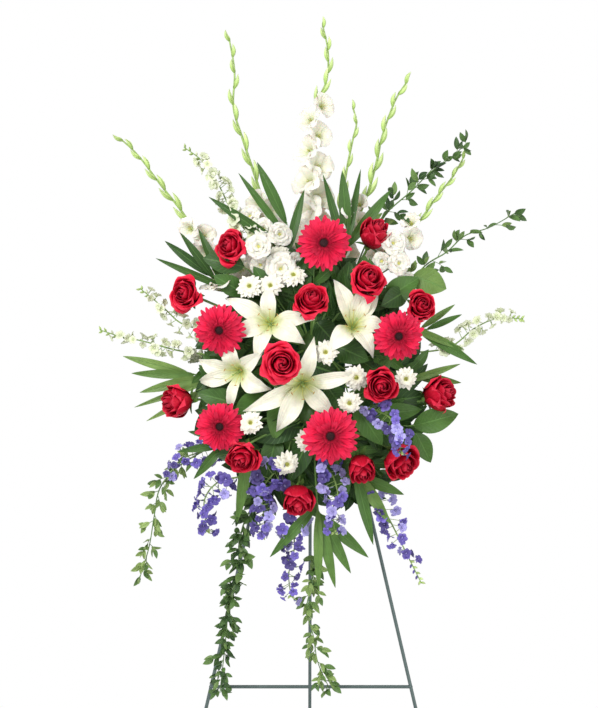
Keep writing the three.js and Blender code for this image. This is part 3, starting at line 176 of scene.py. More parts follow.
class Form:
    """A mesh in the making, of closed sheets and tubes.

    Each point keeps its place on its petal and its tone.
    """

    def __init__(self, name):
        self.draw = random.Random(name)
        self.points = []
        self.places = []
        self.tones = []
        self.faces = []
        self.looks = []
        self.count = 0

    def add(self, points, places, tone, faces, look):
        self.points.append(points)
        self.places.append(places)
        self.tones.append(np.full(len(points), tone, np.float32))
        self.faces += [tuple(self.count + i for i in face) for face in faces]
        self.looks += [look] * len(faces)
        self.count += len(points)

    def sheet(self, place, at, columns, rows, look, tone=None, thickness=PETAL_THICK):
        """A closed blade, thin at its edge.

        at(u, v) is its middle surface, with u from -1 to 1 across and v from 0 to 1 along.
        """
        u, v = np.meshgrid(np.linspace(-1, 1, columns + 1), np.linspace(0, 1, rows + 1))
        middle = place.set(np.stack(np.broadcast_arrays(*at(u, v)), -1))
        normal = np.cross(np.gradient(middle, axis=1), np.gradient(middle, axis=0))
        normal /= np.maximum(np.linalg.norm(normal, axis=-1, keepdims=True), 1e-9)
        inside = np.zeros(u.shape, bool)
        inside[1:-1, 1:-1] = True
        rise = normal * np.where(inside, thickness / 2, 0)[..., None]
        number = np.arange(u.size).reshape(u.shape)
        behind = number.copy()
        behind[inside] = u.size + np.arange(inside.sum())
        uv = np.stack([(u + 1) / 2, v], -1)
        points = np.vstack([(middle + rise).reshape(-1, 3), (middle - rise)[inside]])
        places = np.vstack([uv.reshape(-1, 2), uv[inside]])
        quads = []
        for grid, flip in ((number, False), (behind, True)):
            corners = [grid[:-1, :-1], grid[:-1, 1:], grid[1:, 1:], grid[1:, :-1]]
            quads += np.stack(corners[::-1] if flip else corners, -1).reshape(-1, 4).tolist()
        self.add(points, places, self.draw.random() if tone is None else tone, quads, look)

    def tube(self, points, radii, sides, look, tone=0.5):
        """A closed tube through points, as thick at each as radii says."""
        points = np.asarray(points, float)
        radii = np.broadcast_to(radii, len(points))
        ways = np.gradient(points, axis=0)
        aside = np.cross(vec(0.2, 0.3, 0.9), ways[0])
        turn = np.arange(sides) / sides * 2 * math.pi
        rings = []
        for point, way, radius in zip(points, ways, radii):
            way = unit(way)
            aside = unit(aside - way * aside.dot(way))
            ring = np.outer(np.cos(turn), aside) + np.outer(np.sin(turn), np.cross(way, aside))
            rings.append(point + radius * ring)
        last = (len(points) - 1) * sides
        faces = [tuple(range(sides))[::-1], tuple(range(last, last + sides))]
        for j in range(0, last, sides):
            for i in range(sides):
                k = (i + 1) % sides
                faces.append((j + i, j + k, j + k + sides, j + i + sides))
        across, along = np.meshgrid(turn / 2 / math.pi, np.linspace(0, 1, len(points)))
        self.add(np.vstack(rings), np.stack([across, along], -1).reshape(-1, 2), tone, faces, look)

    def stem(self, line, radius, tip_radius, look="stem", steps=24, sides=8, tone=0.5):
        shares = np.linspace(0, 1, steps + 1)
        self.tube([line.at(t) for t in shares], radius + (tip_radius - radius) * shares, sides, look, tone)

    def turned_form(self, place, profile, sides, look, tone=0.5):
        """A form turned on a place's third axis from (radius, height) pairs."""
        heights = place.set([(0, 0, z) for _, z in profile])
        self.tube(heights, [max(r, THIN) for r, _ in profile], sides, look, tone)

    def pod(self, start, end, width, look, tone=0.5, sides=7, rings=6, belly=1.0, bend=None):
        """A plump closed pod or seed from one point to another."""
        shares = np.linspace(0, 1, rings + 1)
        radii = width / 2 * np.sin(np.pi * (0.03 + 0.94 * shares) ** belly)
        points = start + np.outer(shares, end - start)
        if bend is not None:
            points = points + np.outer(np.sin(np.pi * shares), bend)
        self.tube(points, np.maximum(radii, THIN), sides, look, tone)

    def finish(self, name, body, slot, *nodes):
        """Makes the Blender object, which stands for its CAD nodes and rides on a body."""
        mesh = bpy.data.meshes.new(name)
        points = np.vstack(self.points) * MM + ORIGIN
        mesh.from_pydata(points.tolist(), [], self.faces)
        names = sorted(set(self.looks))
        for look in names:
            mesh.materials.append(material(look))
        index = {look: i for i, look in enumerate(names)}
        mesh.polygons.foreach_set("material_index", [index[look] for look in self.looks])
        mesh.polygons.foreach_set("use_smooth", [True] * len(mesh.polygons))
        corners = np.empty(len(mesh.loops), np.int32)
        mesh.loops.foreach_get("vertex_index", corners)
        layer = mesh.uv_layers.new(name="place")
        layer.data.foreach_set("uv", np.vstack(self.places)[corners].astype(np.float32).ravel())
        tones = mesh.attributes.new("tone", "FLOAT", "POINT")
        tones.data.foreach_set("value", np.concatenate(self.tones))
        mesh.update()
        mesh.set_sharp_from_angle(angle=SHARP_ANGLE)
        piece = bpy.data.objects.new(name, mesh)
        bpy.context.scene.collection.objects.link(piece)
        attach(piece, body)
        if nodes:
            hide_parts(*nodes)


# Materials

class Shader:
    """A material and its node tree, with short calls for the nodes that the looks below share."""

    def __init__(self, name, roughness, **sockets):
        self.material = bpy.data.materials.new(name)
        self.material.use_nodes = True
        self.tree = self.material.node_tree
        self.surface = self.tree.nodes["Principled BSDF"]
        self.surface.inputs["Roughness"].default_value = roughness
        for socket, value in sockets.items():
            self.surface.inputs[socket.replace("_", " ")].default_value = value

    def node(self, kind, **values):
        made = self.tree.nodes.new("ShaderNode" + kind)
        for key, value in values.items():
            setattr(made, key, value)
        return made

    def link(self, source, target):
        self.tree.links.new(source, target)

    def math(self, operation, a, b=None):
        node = self.node("Math", operation=operation)
        for socket, value in zip(node.inputs, (a, b)):
            if isinstance(value, (int, float)):
                socket.default_value = value
            elif value is not None:
                self.link(value, socket)
        return node.outputs[0]

    def place(self):
        """The place on the petal or leaf: across and along, each from 0 to 1."""
        split = self.node("SeparateXYZ")
        self.link(self.node("UVMap", uv_map="place").outputs["UV"], split.inputs[0])
        return split.outputs[0], split.outputs[1]

    def tone(self):
        return self.node("Attribute", attribute_name="tone").outputs["Fac"]

    def noise(self, scale, detail=3):
        node = self.node("TexNoise")
        node.inputs["Scale"].default_value = scale
        node.inputs["Detail"].default_value = detail
        self.link(self.node("TexCoord").outputs["Object"], node.inputs["Vector"])
        return node.outputs["Fac"]

    def ramp(self, share, stops):
        node = self.node("ValToRGB")
        ends = node.color_ramp.elements
        for position, _ in stops[2:]:
            ends.new(position)
        for stop, (position, colour) in zip(ends, stops):
            stop.position = position
            stop.color = (*colour, 1)
        self.link(share, node.inputs["Fac"])
        return node.outputs["Color"]

    def mix(self, share, below, colour):
        """What is below, with a share of a plain colour over it."""
        node = self.node("Mix", data_type="RGBA")
        self.link(share, node.inputs["Factor"])
        self.link(below, node.inputs[6])
        node.inputs[7].default_value = (*colour, 1)
        return node.outputs[2]

    def shade(self, colour, tone, low, high):
        """A colour made darker or lighter by a tone from 0 to 1."""
        node = self.node("HueSaturation")
        self.link(colour, node.inputs["Color"])
        self.link(self.math("ADD", self.math("MULTIPLY", tone, high - low), low), node.inputs["Value"])
        return node.outputs["Color"]

    def colour(self, colour):
        self.link(colour, self.surface.inputs["Base Color"])

    def bump(self, height, distance):
        node = self.node("Bump")
        node.inputs["Strength"].default_value = 1.0
        node.inputs["Distance"].default_value = distance
        self.link(height, node.inputs["Height"])
        self.link(node.outputs["Normal"], self.surface.inputs["Normal"])


# Scales of the noise in a material, in cycles to the metre, and how far it darkens and lightens the colour
PETAL_BLOTCHES, PETAL_GRAIN = 90, 220
LEAF_BLOTCHES = 60
SOFT_MOTTLE = (0.82, 1.18)
MOTTLE = (0.7, 1.3)
MIDRIB_HALF = 0.035  # half a midrib's width as a share of the leaf's
VEIN_SLANT = 0.5
VEIN_SHARPNESS = 8.0
LEAF_RELIEF = 0.0006
LEAF_ROUGHNESS = 0.42


def petal_material(name, stops, tones, roughness, veins, relief, **sockets):
    """A petal: its colour runs from its foot to its edge, with fine veins along it and soft blotches."""
    shader = Shader(name, roughness, **sockets)
    across, along = shader.place()
    colour = shader.shade(shader.ramp(along, stops), shader.tone(), *tones)
    colour = shader.shade(colour, shader.noise(PETAL_BLOTCHES), *SOFT_MOTTLE)
    shader.colour(colour)
    lines = shader.math("SINE", shader.math("MULTIPLY", across, veins))
    height = shader.math("ADD", shader.math("MULTIPLY", lines, 0.5), shader.noise(PETAL_GRAIN))
    shader.bump(height, relief)
    return shader.material


def leaf_material(name, dark, middle, light, ribs):
    """A leaf: a paler midrib, slanting side veins and a tone of its own for each leaf."""
    shader = Shader(name, LEAF_ROUGHNESS, Specular_IOR_Level=0.3)
    across, along = shader.place()
    body = shader.ramp(shader.tone(), [(0, dark), (0.5, middle), (1, light)])
    body = shader.shade(body, shader.noise(LEAF_BLOTCHES), *MOTTLE)
    aside = shader.math("ABSOLUTE", shader.math("SUBTRACT", across, 0.5))
    run = shader.math("SUBTRACT", along, shader.math("MULTIPLY", aside, VEIN_SLANT))
    veins = shader.math("SINE", shader.math("MULTIPLY", run, ribs * 2 * math.pi))
    thin = shader.math("POWER", shader.math("MAXIMUM", veins, 0.0), VEIN_SHARPNESS)
    midrib = shader.math("LESS_THAN", aside, MIDRIB_HALF)
    pale = tuple(min(1, 1.5 * c + 0.02) for c in middle)
    body = shader.mix(shader.math("MULTIPLY", thin, 0.3), body, pale)
    shader.colour(shader.mix(shader.math("MULTIPLY", midrib, 0.6), body, pale))
    relief = shader.math("ADD", shader.math("MULTIPLY", thin, -0.5), shader.math("MULTIPLY", midrib, -1.0))
    shader.bump(relief, LEAF_RELIEF)
    return shader.material


def plain_material(name, dark, light, scale, relief, roughness, **sockets):
    """A made surface: one colour with fine mottling and grain."""
    shader = Shader(name, roughness, **sockets)
    grain = shader.noise(scale, 5)
    shader.colour(shader.ramp(grain, [(0.3, dark), (0.7, light)]))
    shader.bump(shader.noise(scale * 3), relief)
    return shader.material


def tone_material(name, stops, scale, relief, roughness):
    """A surface whose colour follows the tone of each small part, with fine grain."""
    shader = Shader(name, roughness)
    shader.colour(shader.shade(shader.ramp(shader.tone(), stops), shader.noise(scale), *MOTTLE))
    shader.bump(shader.noise(scale * 3), relief)
    return shader.material


LOOKS = {
    # The rose's colour is darker towards each petal's foot for painted shade deep in the bloom, and lighter
    # at the rim for a painted highlight.
    "rose": lambda name: petal_material(
        name, [(0, (0.10, 0.0, 0.004)), (0.45, (0.42, 0.001, 0.016)), (0.85, (0.70, 0.006, 0.036)),
               (1, (0.86, 0.035, 0.085))],
        tones=(0.5, 1.15), roughness=0.5, veins=60, relief=0.0003, Specular_IOR_Level=0.18),
    # The gerbera's colour is darker towards each petal's foot for painted shade round the eye.
    "gerbera": lambda name: petal_material(
        name, [(0, (0.16, 0.0, 0.010)), (0.32, (0.46, 0.001, 0.026)), (0.6, (0.72, 0.006, 0.050)),
               (1, (0.88, 0.028, 0.098))],
        tones=(0.6, 1.14), roughness=0.55, veins=26, relief=0.0005, Specular_IOR_Level=0.2),
    "gerbera_eye": lambda name: tone_material(
        name, [(0, (0.036, 0.002, 0.005)), (0.6, (0.13, 0.004, 0.016)), (1, (0.44, 0.008, 0.034))],
        400, 0.0002, 0.7),
    "lily": lambda name: petal_material(
        name, [(0, (0.34, 0.46, 0.09)), (0.14, (0.64, 0.70, 0.32)), (0.34, (0.83, 0.815, 0.65)),
               (1, (0.875, 0.845, 0.72))],
        tones=(0.94, 1.05), roughness=0.45, veins=44, relief=0.0004, Subsurface_Weight=0.08,
        Subsurface_Scale=0.003),
    "anther": lambda name: plain_material(name, (0.42, 0.24, 0.07), (0.58, 0.38, 0.13), 900, 0.0002, 0.8),
    "white_petal": lambda name: petal_material(
        name, [(0, (0.56, 0.60, 0.27)), (0.3, (0.82, 0.80, 0.62)), (0.6, (0.87, 0.825, 0.72)),
               (1, (0.90, 0.865, 0.79))],
        tones=(0.86, 1.03), roughness=0.5, veins=38, relief=0.0003, Specular_IOR_Level=0.25,
        Subsurface_Weight=0.12, Subsurface_Scale=0.005),
    "button_petal": lambda name: petal_material(
        name, [(0, (0.66, 0.70, 0.36)), (0.3, (0.86, 0.84, 0.67)), (1, (0.91, 0.89, 0.80))],
        tones=(0.94, 1.04), roughness=0.55, veins=18, relief=0.0002, Specular_IOR_Level=0.25),
    "cream_petal": lambda name: petal_material(
        name, [(0, (0.42, 0.52, 0.20)), (0.35, (0.68, 0.74, 0.48)), (1, (0.82, 0.85, 0.68))],
        tones=(0.7, 1.06), roughness=0.55, veins=18, relief=0.0002, Specular_IOR_Level=0.25),
    "button_eye": lambda name: tone_material(
        name, [(0, (0.42, 0.48, 0.10)), (1, (0.66, 0.62, 0.16))], 500, 0.0003, 0.7),
    "blue_petal": lambda name: petal_material(
        name, [(0, (0.20, 0.16, 0.44)), (0.4, (0.105, 0.075, 0.34)), (1, (0.155, 0.12, 0.43))],
        tones=(0.5, 1.45), roughness=0.55, veins=20, relief=0.0002),
    "lilac_petal": lambda name: petal_material(
        name, [(0, (0.52, 0.48, 0.74)), (0.4, (0.30, 0.27, 0.60)), (1, (0.42, 0.39, 0.72))],
        tones=(0.8, 1.3), roughness=0.55, veins=20, relief=0.0004),
    "bud": lambda name: petal_material(
        name, [(0, (0.26, 0.42, 0.09)), (0.45, (0.42, 0.58, 0.17)), (1, (0.60, 0.72, 0.34))],
        tones=(0.75, 1.25), roughness=0.45, veins=30, relief=0.0004),
    "stem": lambda name: tone_material(
        name, [(0, (0.04, 0.10, 0.02)), (0.5, (0.13, 0.25, 0.05)), (1, (0.34, 0.48, 0.14))],
        120, 0.0003, 0.45),
    "leaf": lambda name: leaf_material(
        name, (0.010, 0.038, 0.008), (0.062, 0.150, 0.024), (0.25, 0.37, 0.10), 9),
    "sprig_leaf": lambda name: leaf_material(
        name, (0.026, 0.064, 0.022), (0.100, 0.195, 0.050), (0.29, 0.40, 0.13), 6),
    "wire": lambda name: plain_material(
        name, (0.075, 0.108, 0.104), (0.092, 0.128, 0.122), 50, 0.00002, 0.4, Metallic=0.3),
    "tray": lambda name: plain_material(name, (0.015, 0.07, 0.02), (0.022, 0.09, 0.028), 200, 0.0001, 0.4),
    "tape": lambda name: plain_material(name, (0.05, 0.17, 0.06), (0.07, 0.21, 0.08), 700, 0.0002, 0.55),
    "foam": lambda name: plain_material(name, (0.020, 0.09, 0.030), (0.05, 0.17, 0.06), 900, 0.0008, 0.95),
    "floor": lambda name: plain_material(name, (0.80, 0.80, 0.80), (0.84, 0.84, 0.84), 3, 0.0005, 0.7),
}
made_materials = {}


def material(look):
    if look not in made_materials:
        made_materials[look] = LOOKS[look](look)
    return made_materials[look]


# Leaves and small flowers

LEAF_BASE, LEAF_FULLNESS = 0.85, 0.8  # where a leaf is widest and how full it is there
LEAF_EDGE = 0.25  # half a leaf's least width


def leaf(form, start, tip, width, look="leaf", tone=None, *, fine, arch=0.06, cup=0.25, twist=0.0,
         face=VIEWER):
    """A leaf from its stalk end to its tip, which looks at the viewer, arches and has rising edges."""
    along = tip - start
    length = np.linalg.norm(along)
    side = unit(np.cross(along, face))
    out = unit(np.cross(side, along))
    wave = form.draw.uniform(0, 6)

    def at(u, v):
        half = width / 2 * np.maximum(np.sin(np.pi * v**LEAF_BASE), 0) ** LEAF_FULLNESS + LEAF_EDGE
        angle = twist * (v - 0.3)
        lift = cup * half * u * u - 0.06 * half * (1 - np.abs(u)) + 0.03 * half * np.sin(9 * v + wave) * u
        x = u * half * np.cos(angle) - lift * np.sin(angle)
        y = u * half * np.sin(angle) + lift * np.cos(angle) + arch * length * np.sin(np.pi * v)
        point = start + v[..., None] * along + x[..., None] * side + y[..., None] * out
        return point[..., 0], point[..., 1], point[..., 2]

    form.sheet(HERE, at, *fine, look, tone)


def petal_points(r, aside, turn, z):
    """Points at a distance r from the third axis in the direction turn, moved aside from it."""
    return r * np.cos(turn) - aside * np.sin(turn), r * np.sin(turn) + aside * np.cos(turn), z


def petal(form, place, turn, reach, half, rise, look, cup, tip, foot, fine, wave=0.0, tone=None, blunt=0.55):
    """A petal that leaves a flower's middle at an angle.

    rise is a list of heights from its foot to its tip. tip puts the petal's widest place at its middle when
    it is 1 and nearer its end when it is more. Its end is rounder the smaller blunt is.
    """
    knots = np.linspace(0, 1, len(rise))
    phase = form.draw.uniform(0, 6)

    def at(u, v):
        r = foot + (reach - foot) * v
        width = half * np.maximum(np.sin(np.pi * (0.05 + 0.93 * v) ** tip), 0.05) ** blunt
        aside = u * width
        lift = cup * width * u * u + wave * width * u * u * np.sin(8 * v + phase)
        return petal_points(r, aside, turn, np.interp(v, knots, rise) + lift)

    form.sheet(place, at, *fine, look, tone)


def open_flower(form, place, radius, depth, petals, look, wide, wave, fine, tone=None):
    """A small flower of broad petals that rise from one throat and spread at their tips."""
    draw = form.draw
    for k in range(petals):
        turn = (k + draw.uniform(-0.12, 0.12)) / petals * 2 * math.pi
        high = depth * draw.uniform(0.85, 1.1)
        reach = radius * draw.uniform(0.88, 1.04)
        rise = [0, 0.5 * high, 0.8 * high, high, 1.02 * high, 0.9 * high]
        petal(form, place, turn, reach, wide * radius, rise, look, cup=0.16, tip=1.25, foot=0.04 * radius,
              wave=wave, fine=fine, tone=tone)


# Blooms, each round the third axis of its place

ROSE_PETALS = 21
ROSE_GRID = (14, 14)
CURL_FROM = 0.64  # the share of a rose petal's height where its lip starts to roll out
SWELL_TO = 0.7  # and where its belly ends
ROUND_FROM = 0.62  # and where its corners start to round off
SHUT_TO = 0.45  # the share of the petals, from the middle, that lean over the heart


def rose(form, place, width, height, opened):
    draw = form.draw
    radius = width / 2
    spread = 0.25 + 0.75 * opened
    for k in range(ROSE_PETALS):
        t = (k + 0.5) / ROSE_PETALS
        turn = k * GOLDEN + draw.uniform(-0.3, 0.3)
        reach = radius * (0.10 + (0.92 - 0.2 * spread) * t**0.85) * draw.uniform(0.94, 1.05)
        lip = height * (1 - (0.10 + 0.34 * opened) * t**1.6) * draw.uniform(0.95, 1.03)
        half = math.radians(130 - 76 * t)
        roll = spread * t**1.3 * draw.uniform(0.7, 1.3)
        shut = 0.8 * max(0, 1 - t / SHUT_TO)
        phase = draw.uniform(0, 6)
        lean = draw.uniform(-0.08, 0.08)

        def at(u, v):
            curl = np.clip((v - CURL_FROM) / (1 - CURL_FROM), 0, 1) ** 2
            swell = np.sin(0.5 * np.pi * np.clip(v / SWELL_TO, 0, 1)) ** 0.7
            ripple = radius * (0.03 * np.sin(4 * u + phase) + lean * u) * v**2 * (0.3 + t)
            r = reach * (0.2 + 0.8 * swell) * (1 - shut * curl) + 0.05 * radius * u
            r = r + 0.26 * roll * radius * curl * (0.65 + 0.35 * u * u) + ripple
            fall = 1 - (0.08 + 0.2 * t) * np.abs(u) ** 2.2
            z = lip * (0.03 + 0.97 * v) * fall - 0.24 * roll * height * curl * (0.5 + 0.5 * u * u)
            rounded = 1 - 0.6 * np.clip((v - ROUND_FROM) / (1 - ROUND_FROM), 0, 1) ** 2.4
            angle = turn + half * u * (0.55 + 0.45 * np.sqrt(v)) * rounded
            return r * np.cos(angle), r * np.sin(angle), z

        # Inner petals are painted darker for the shade in the rose's heart; the less open roses are darker
        # overall.
        tone = (0.45 + 0.55 * opened) * (0.3 + 0.7 * t * draw.uniform(0.6, 1.1))
        form.sheet(place, at, *ROSE_GRID, "rose", min(tone, 1))
    calyx(form, place, 0.16 * radius)


def round_place(far, turn, height):
    """A place at a distance from the third axis, in the direction turn."""
    return vec(far * math.cos(turn), far * math.sin(turn), height)


SEPALS, SEPAL_REACH, SEPAL_WIDTH = 5, 26, 8


def calyx(form, place, radius):
    """The green cup under a rose, with its narrow sepals."""
    form.turned_form(place, [(2.4, -9), (radius, -5), (1.25 * radius, 0), (radius, 4)], 10, "stem")
    for k in range(SEPALS):
        turn = k / SEPALS * 2 * math.pi
        tip = place.set(round_place(SEPAL_REACH, turn, form.draw.uniform(-6, 6)))
        foot = place.set(round_place(0.8 * radius, turn, 0))
        leaf(form, foot, tip, SEPAL_WIDTH, tone=0.6, face=place.way, fine=(2, 5))


# Rows of a gerbera's petals: how many, the share of the radius they reach, the height of foot and of middle,
# half their width as a share of the radius, and the range of their tones
GERBERA_ROWS = [
    (24, 1.0, 4.0, 7.5, 0.112, (0.25, 1.0)), (24, 0.9, 6.0, 10.0, 0.102, (0.25, 1.0)),
    (20, 0.6, 7.5, 11.5, 0.085, (0.0, 0.45)), (26, 0.34, 9.0, 12.5, 0.036, (0.0, 0.45))]
EYE_FLORETS = 90
EYE_SHARE = 0.21  # the eye's radius as a share of the gerbera's
EYE_TOP = 10.5


def gerbera(form, place, width):
    draw = form.draw
    radius = width / 2
    for row, (count, share, foot_z, high, half_share, tones) in enumerate(GERBERA_ROWS):
        for k in range(count):
            turn = (k + 0.5 * row + draw.uniform(-0.18, 0.18)) / count * 2 * math.pi
            reach = share * radius * draw.uniform(0.86, 1.0)
            droop = draw.uniform(-2.2, 1.8)
            rise = [foot_z, high, high + 0.3 * droop, high - 1.5 + droop, high - 4 + 1.4 * droop]
            half = half_share * radius * draw.uniform(0.85, 1.1)
            petal(form, place, turn, reach, half, rise, "gerbera", cup=0.42, tip=1.4, foot=0.12 * radius,
                  fine=(6, 8), tone=draw.uniform(*tones), blunt=0.52)
    eye = EYE_SHARE * radius
    profile = [(0.4 * eye, -1), (1.1 * eye, 3), (eye, 8), (0.7 * eye, EYE_TOP), (0.2 * eye, EYE_TOP + 0.5)]
    form.turned_form(place, profile, 20, "gerbera_eye", 0)
    for i in range(EYE_FLORETS):
        share = math.sqrt((i + 0.5) / EYE_FLORETS)
        foot = round_place(eye * share, i * GOLDEN, EYE_TOP - 2.5 * share**2)
        tip = foot * vec(1.1, 1.1, 1) + vec(0, 0, 2.2 + 1.4 * share)
        form.pod(place.set(foot), place.set(tip), 1.6, "gerbera_eye", max(0.0, 2.6 * share - 1.6), 5, 3)
    neck = [(3.4, -8), (0.18 * radius, -4), (0.34 * radius, 2), (0.3 * radius, 4)]
    form.turned_form(place, neck, 14, "stem")


SLIM = 0.86  # a lily's petals against the widths in the table
LILY_GRID = (10, 18)
# A lily petal's height over its length, as shares of both, and how much of its droop each place takes
LILY_SHARES = [0, 0.12, 0.28, 0.42, 0.6, 0.78, 0.9, 1]
LILY_HEIGHTS = np.array([0.05, 0.42, 0.8, 1.0, 1.04, 0.95, 0.8, 0.6])
LILY_DROOPS = np.array([0, 0, 0, 0, 0, 1 / 3, 1 / 1.5, 1])
STAMENS = 6


def lily(form, place, reach, depth, petals):
    """petals is a list of each petal's direction in degrees, its length and its width."""
    draw = form.draw
    for k, (degrees, length, width) in enumerate(petals):
        turn = math.radians(degrees)
        high = depth * (1.0 if k % 2 else 0.93)
        phase = draw.uniform(0, 6)
        heights = LILY_HEIGHTS - draw.uniform(0.0, 0.25) * LILY_DROOPS

        def at(u, v):
            r = length * v
            half = SLIM * width / 2 * np.maximum(np.sin(np.pi * (0.04 + 0.95 * v) ** 0.84), 0.02) ** 1.1
            ruffle = 0.10 * half * np.sin(17 * v + phase) * u * u
            fold = 0.30 * half * u * u - 0.12 * half * np.exp(-((u / 0.18) ** 2))
            aside = u * half
            return petal_points(r, aside, turn, high * np.interp(v, LILY_SHARES, heights) + ruffle + fold)

        form.sheet(place, at, *LILY_GRID, "lily", draw.uniform(0.3, 1.0), LILY_THICK)
    for k in range(STAMENS):
        turn = math.radians((k + 0.5) / STAMENS * 360 + draw.uniform(-8, 8))
        foot, knee, tip = (round_place(far * reach, turn, high * depth)
                           for far, high in ((0.03, 0.15), (0.12, 0.8), (0.22, 1.22)))
        form.stem(Line([place.set(p) for p in (foot, knee, tip)]), 0.8, 0.5, "button_eye", 10, 6, 1.0)
        cross = vec(-math.sin(turn), math.cos(turn), 0.2) * 3.5
        form.pod(place.set(tip - cross), place.set(tip + cross), 2.0, "anther")
    style_path = ((0, 0, 0.1 * depth), (0.5, 0.8, 0.8 * depth), (1.5, 2, 1.36 * depth))
    style = Line([place.set(p) for p in style_path])
    form.stem(style, 1.3, 1.0, tone=1.0, steps=10)
    form.pod(style.at(0.97), style.at(0.97) + 3.2 * place.way, 4.6, "stem", 0.9)
    form.turned_form(place, [(2.6, -8), (3.4, -2), (4.4, 4), (5, 8)], 10, "stem", 0.8)


BUTTON_WIDTH = 45
# Rows of a button flower's petals: how many, the share of the radius they reach, and how high they are at the
# foot and further out
BUTTON_ROWS = [(15, 1.0, 3, 5), (14, 0.88, 4, 8), (11, 0.64, 6, 11)]
BUTTON_FLORETS = 14


def button_flower(form, place, width):
    """A small double white flower with a green-gold eye."""
    radius = width / 2
    for count, share, foot, high in BUTTON_ROWS:
        for k in range(count):
            turn = (k + form.draw.uniform(-0.25, 0.25) + share) / count * 2 * math.pi
            reach = share * radius * form.draw.uniform(0.84, 1.08)
            rise = [foot, high, high + 0.8, high + 0.2, high - 1.0 + form.draw.uniform(-1.5, 1.5)]
            petal(form, place, turn, reach, 0.19 * radius, rise, "button_petal", cup=0.35, tip=1.15,
                  foot=0.1 * radius, fine=(4, 6), blunt=0.8)
    profile = [(1.5, -4), (0.3 * radius, 2), (0.3 * radius, 5), (0.14 * radius, 9)]
    form.turned_form(place, profile, 10, "button_eye", 0.4)
    for i in range(BUTTON_FLORETS):
        foot = round_place(0.14 * radius * math.sqrt(i / BUTTON_FLORETS), i * GOLDEN, 8)
        form.pod(place.set(foot), place.set(foot + vec(0, 0, 4)), 1.8, "button_eye", form.draw.random(), 5, 3)


# Where the blooms and sprays are, as in the part's own source
# Each rose: place, width, height, how far it is open, yaw, pitch and bunch
ROSES = {
    "rose_upper_left": (-144, -142, 1215, 66, 50, 0.7, -35, 12, "upper"),
    "rose_left": (-227, -141, 1130, 68, 48, 0.8, -25, 5, "upper"),
    "rose_top_right": (115, -122, 1240, 58, 58, 0.25, 35, 50, "upper"),
    "rose_upper_right": (101, -184, 1157, 72, 50, 0.8, 18, 22, "upper"),
    "rose_upper_middle": (1, -206, 1117, 70, 50, 0.75, 0, 30, "upper"),
    "rose_right": (198, -152, 1109, 58, 46, 0.6, 15, 10, "upper"),
    "rose_centre": (-52, -246, 1006, 80, 50, 1, 4, -2, "upper"),
    "rose_lower_left": (-241, -150, 936, 64, 58, 0.3, -60, -5, "lower"),
    "rose_middle_right": (124, -212, 967, 66, 52, 0.6, 8, -12, "lower"),
    "rose_far_right": (230, -160, 950, 66, 60, 0.3, 55, 18, "lower"),
    "rose_low_left": (-121, -202, 839, 68, 52, 0.6, -15, -30, "lower"),
    "rose_low_middle": (90, -190, 819, 52, 56, 0.2, 15, -45, "lower"),
    "rose_low_right": (162, -168, 830, 74, 60, 0.5, 35, -30, "lower"),
    "rose_bottom": (-22, -172, 761, 62, 58, 0.3, 0, -50, "lower"),
}
# Each gerbera: place, width, yaw, pitch and bunch
GERBERAS = {
    "gerbera_top": (23, -160, 1221, 104, 0, 4, "upper"),
    "gerbera_left": (-163, -190, 1065, 100, -12, -14, "upper"),
    "gerbera_right": (155, -202, 1054, 98, 8, -10, "upper"),
    "gerbera_lower_left": (-163, -168, 892, 96, -8, -6, "lower"),
    "gerbera_lower": (34, -218, 877, 108, 2, -8, "lower"),
}
GERBERA_DEPTH = 13
# Each lily: place, reach, depth, yaw, pitch, bunch and its petals' directions, lengths and widths
LILIES = {
    "lily_front": (-16, -176, 968, 104, 40, 2, -8, "lower", [
        (205, 117, 38), (242, 98, 44), (316, 82, 40), (12, 110, 34), (76, 88, 34), (140, 80, 40)]),
    "lily_upper_left": (-74, -166, 1078, 88, 34, -8, 12, "upper", [
        (151, 92, 38), (92, 70, 34), (4, 82, 36), (329, 76, 46), (252, 76, 34), (204, 76, 40)]),
    "lily_left": (-130, -156, 990, 86, 34, -22, -14, "lower", [
        (163, 80, 40), (192, 84, 34), (254, 80, 24), (333, 70, 44), (36, 66, 36), (98, 74, 38)]),
    "lily_upper_right": (76, -160, 1073, 92, 38, 8, 18, "upper", [
        (110, 94, 38), (70, 84, 40), (50, 76, 34), (298, 70, 36), (226, 74, 44), (350, 66, 38)]),
}
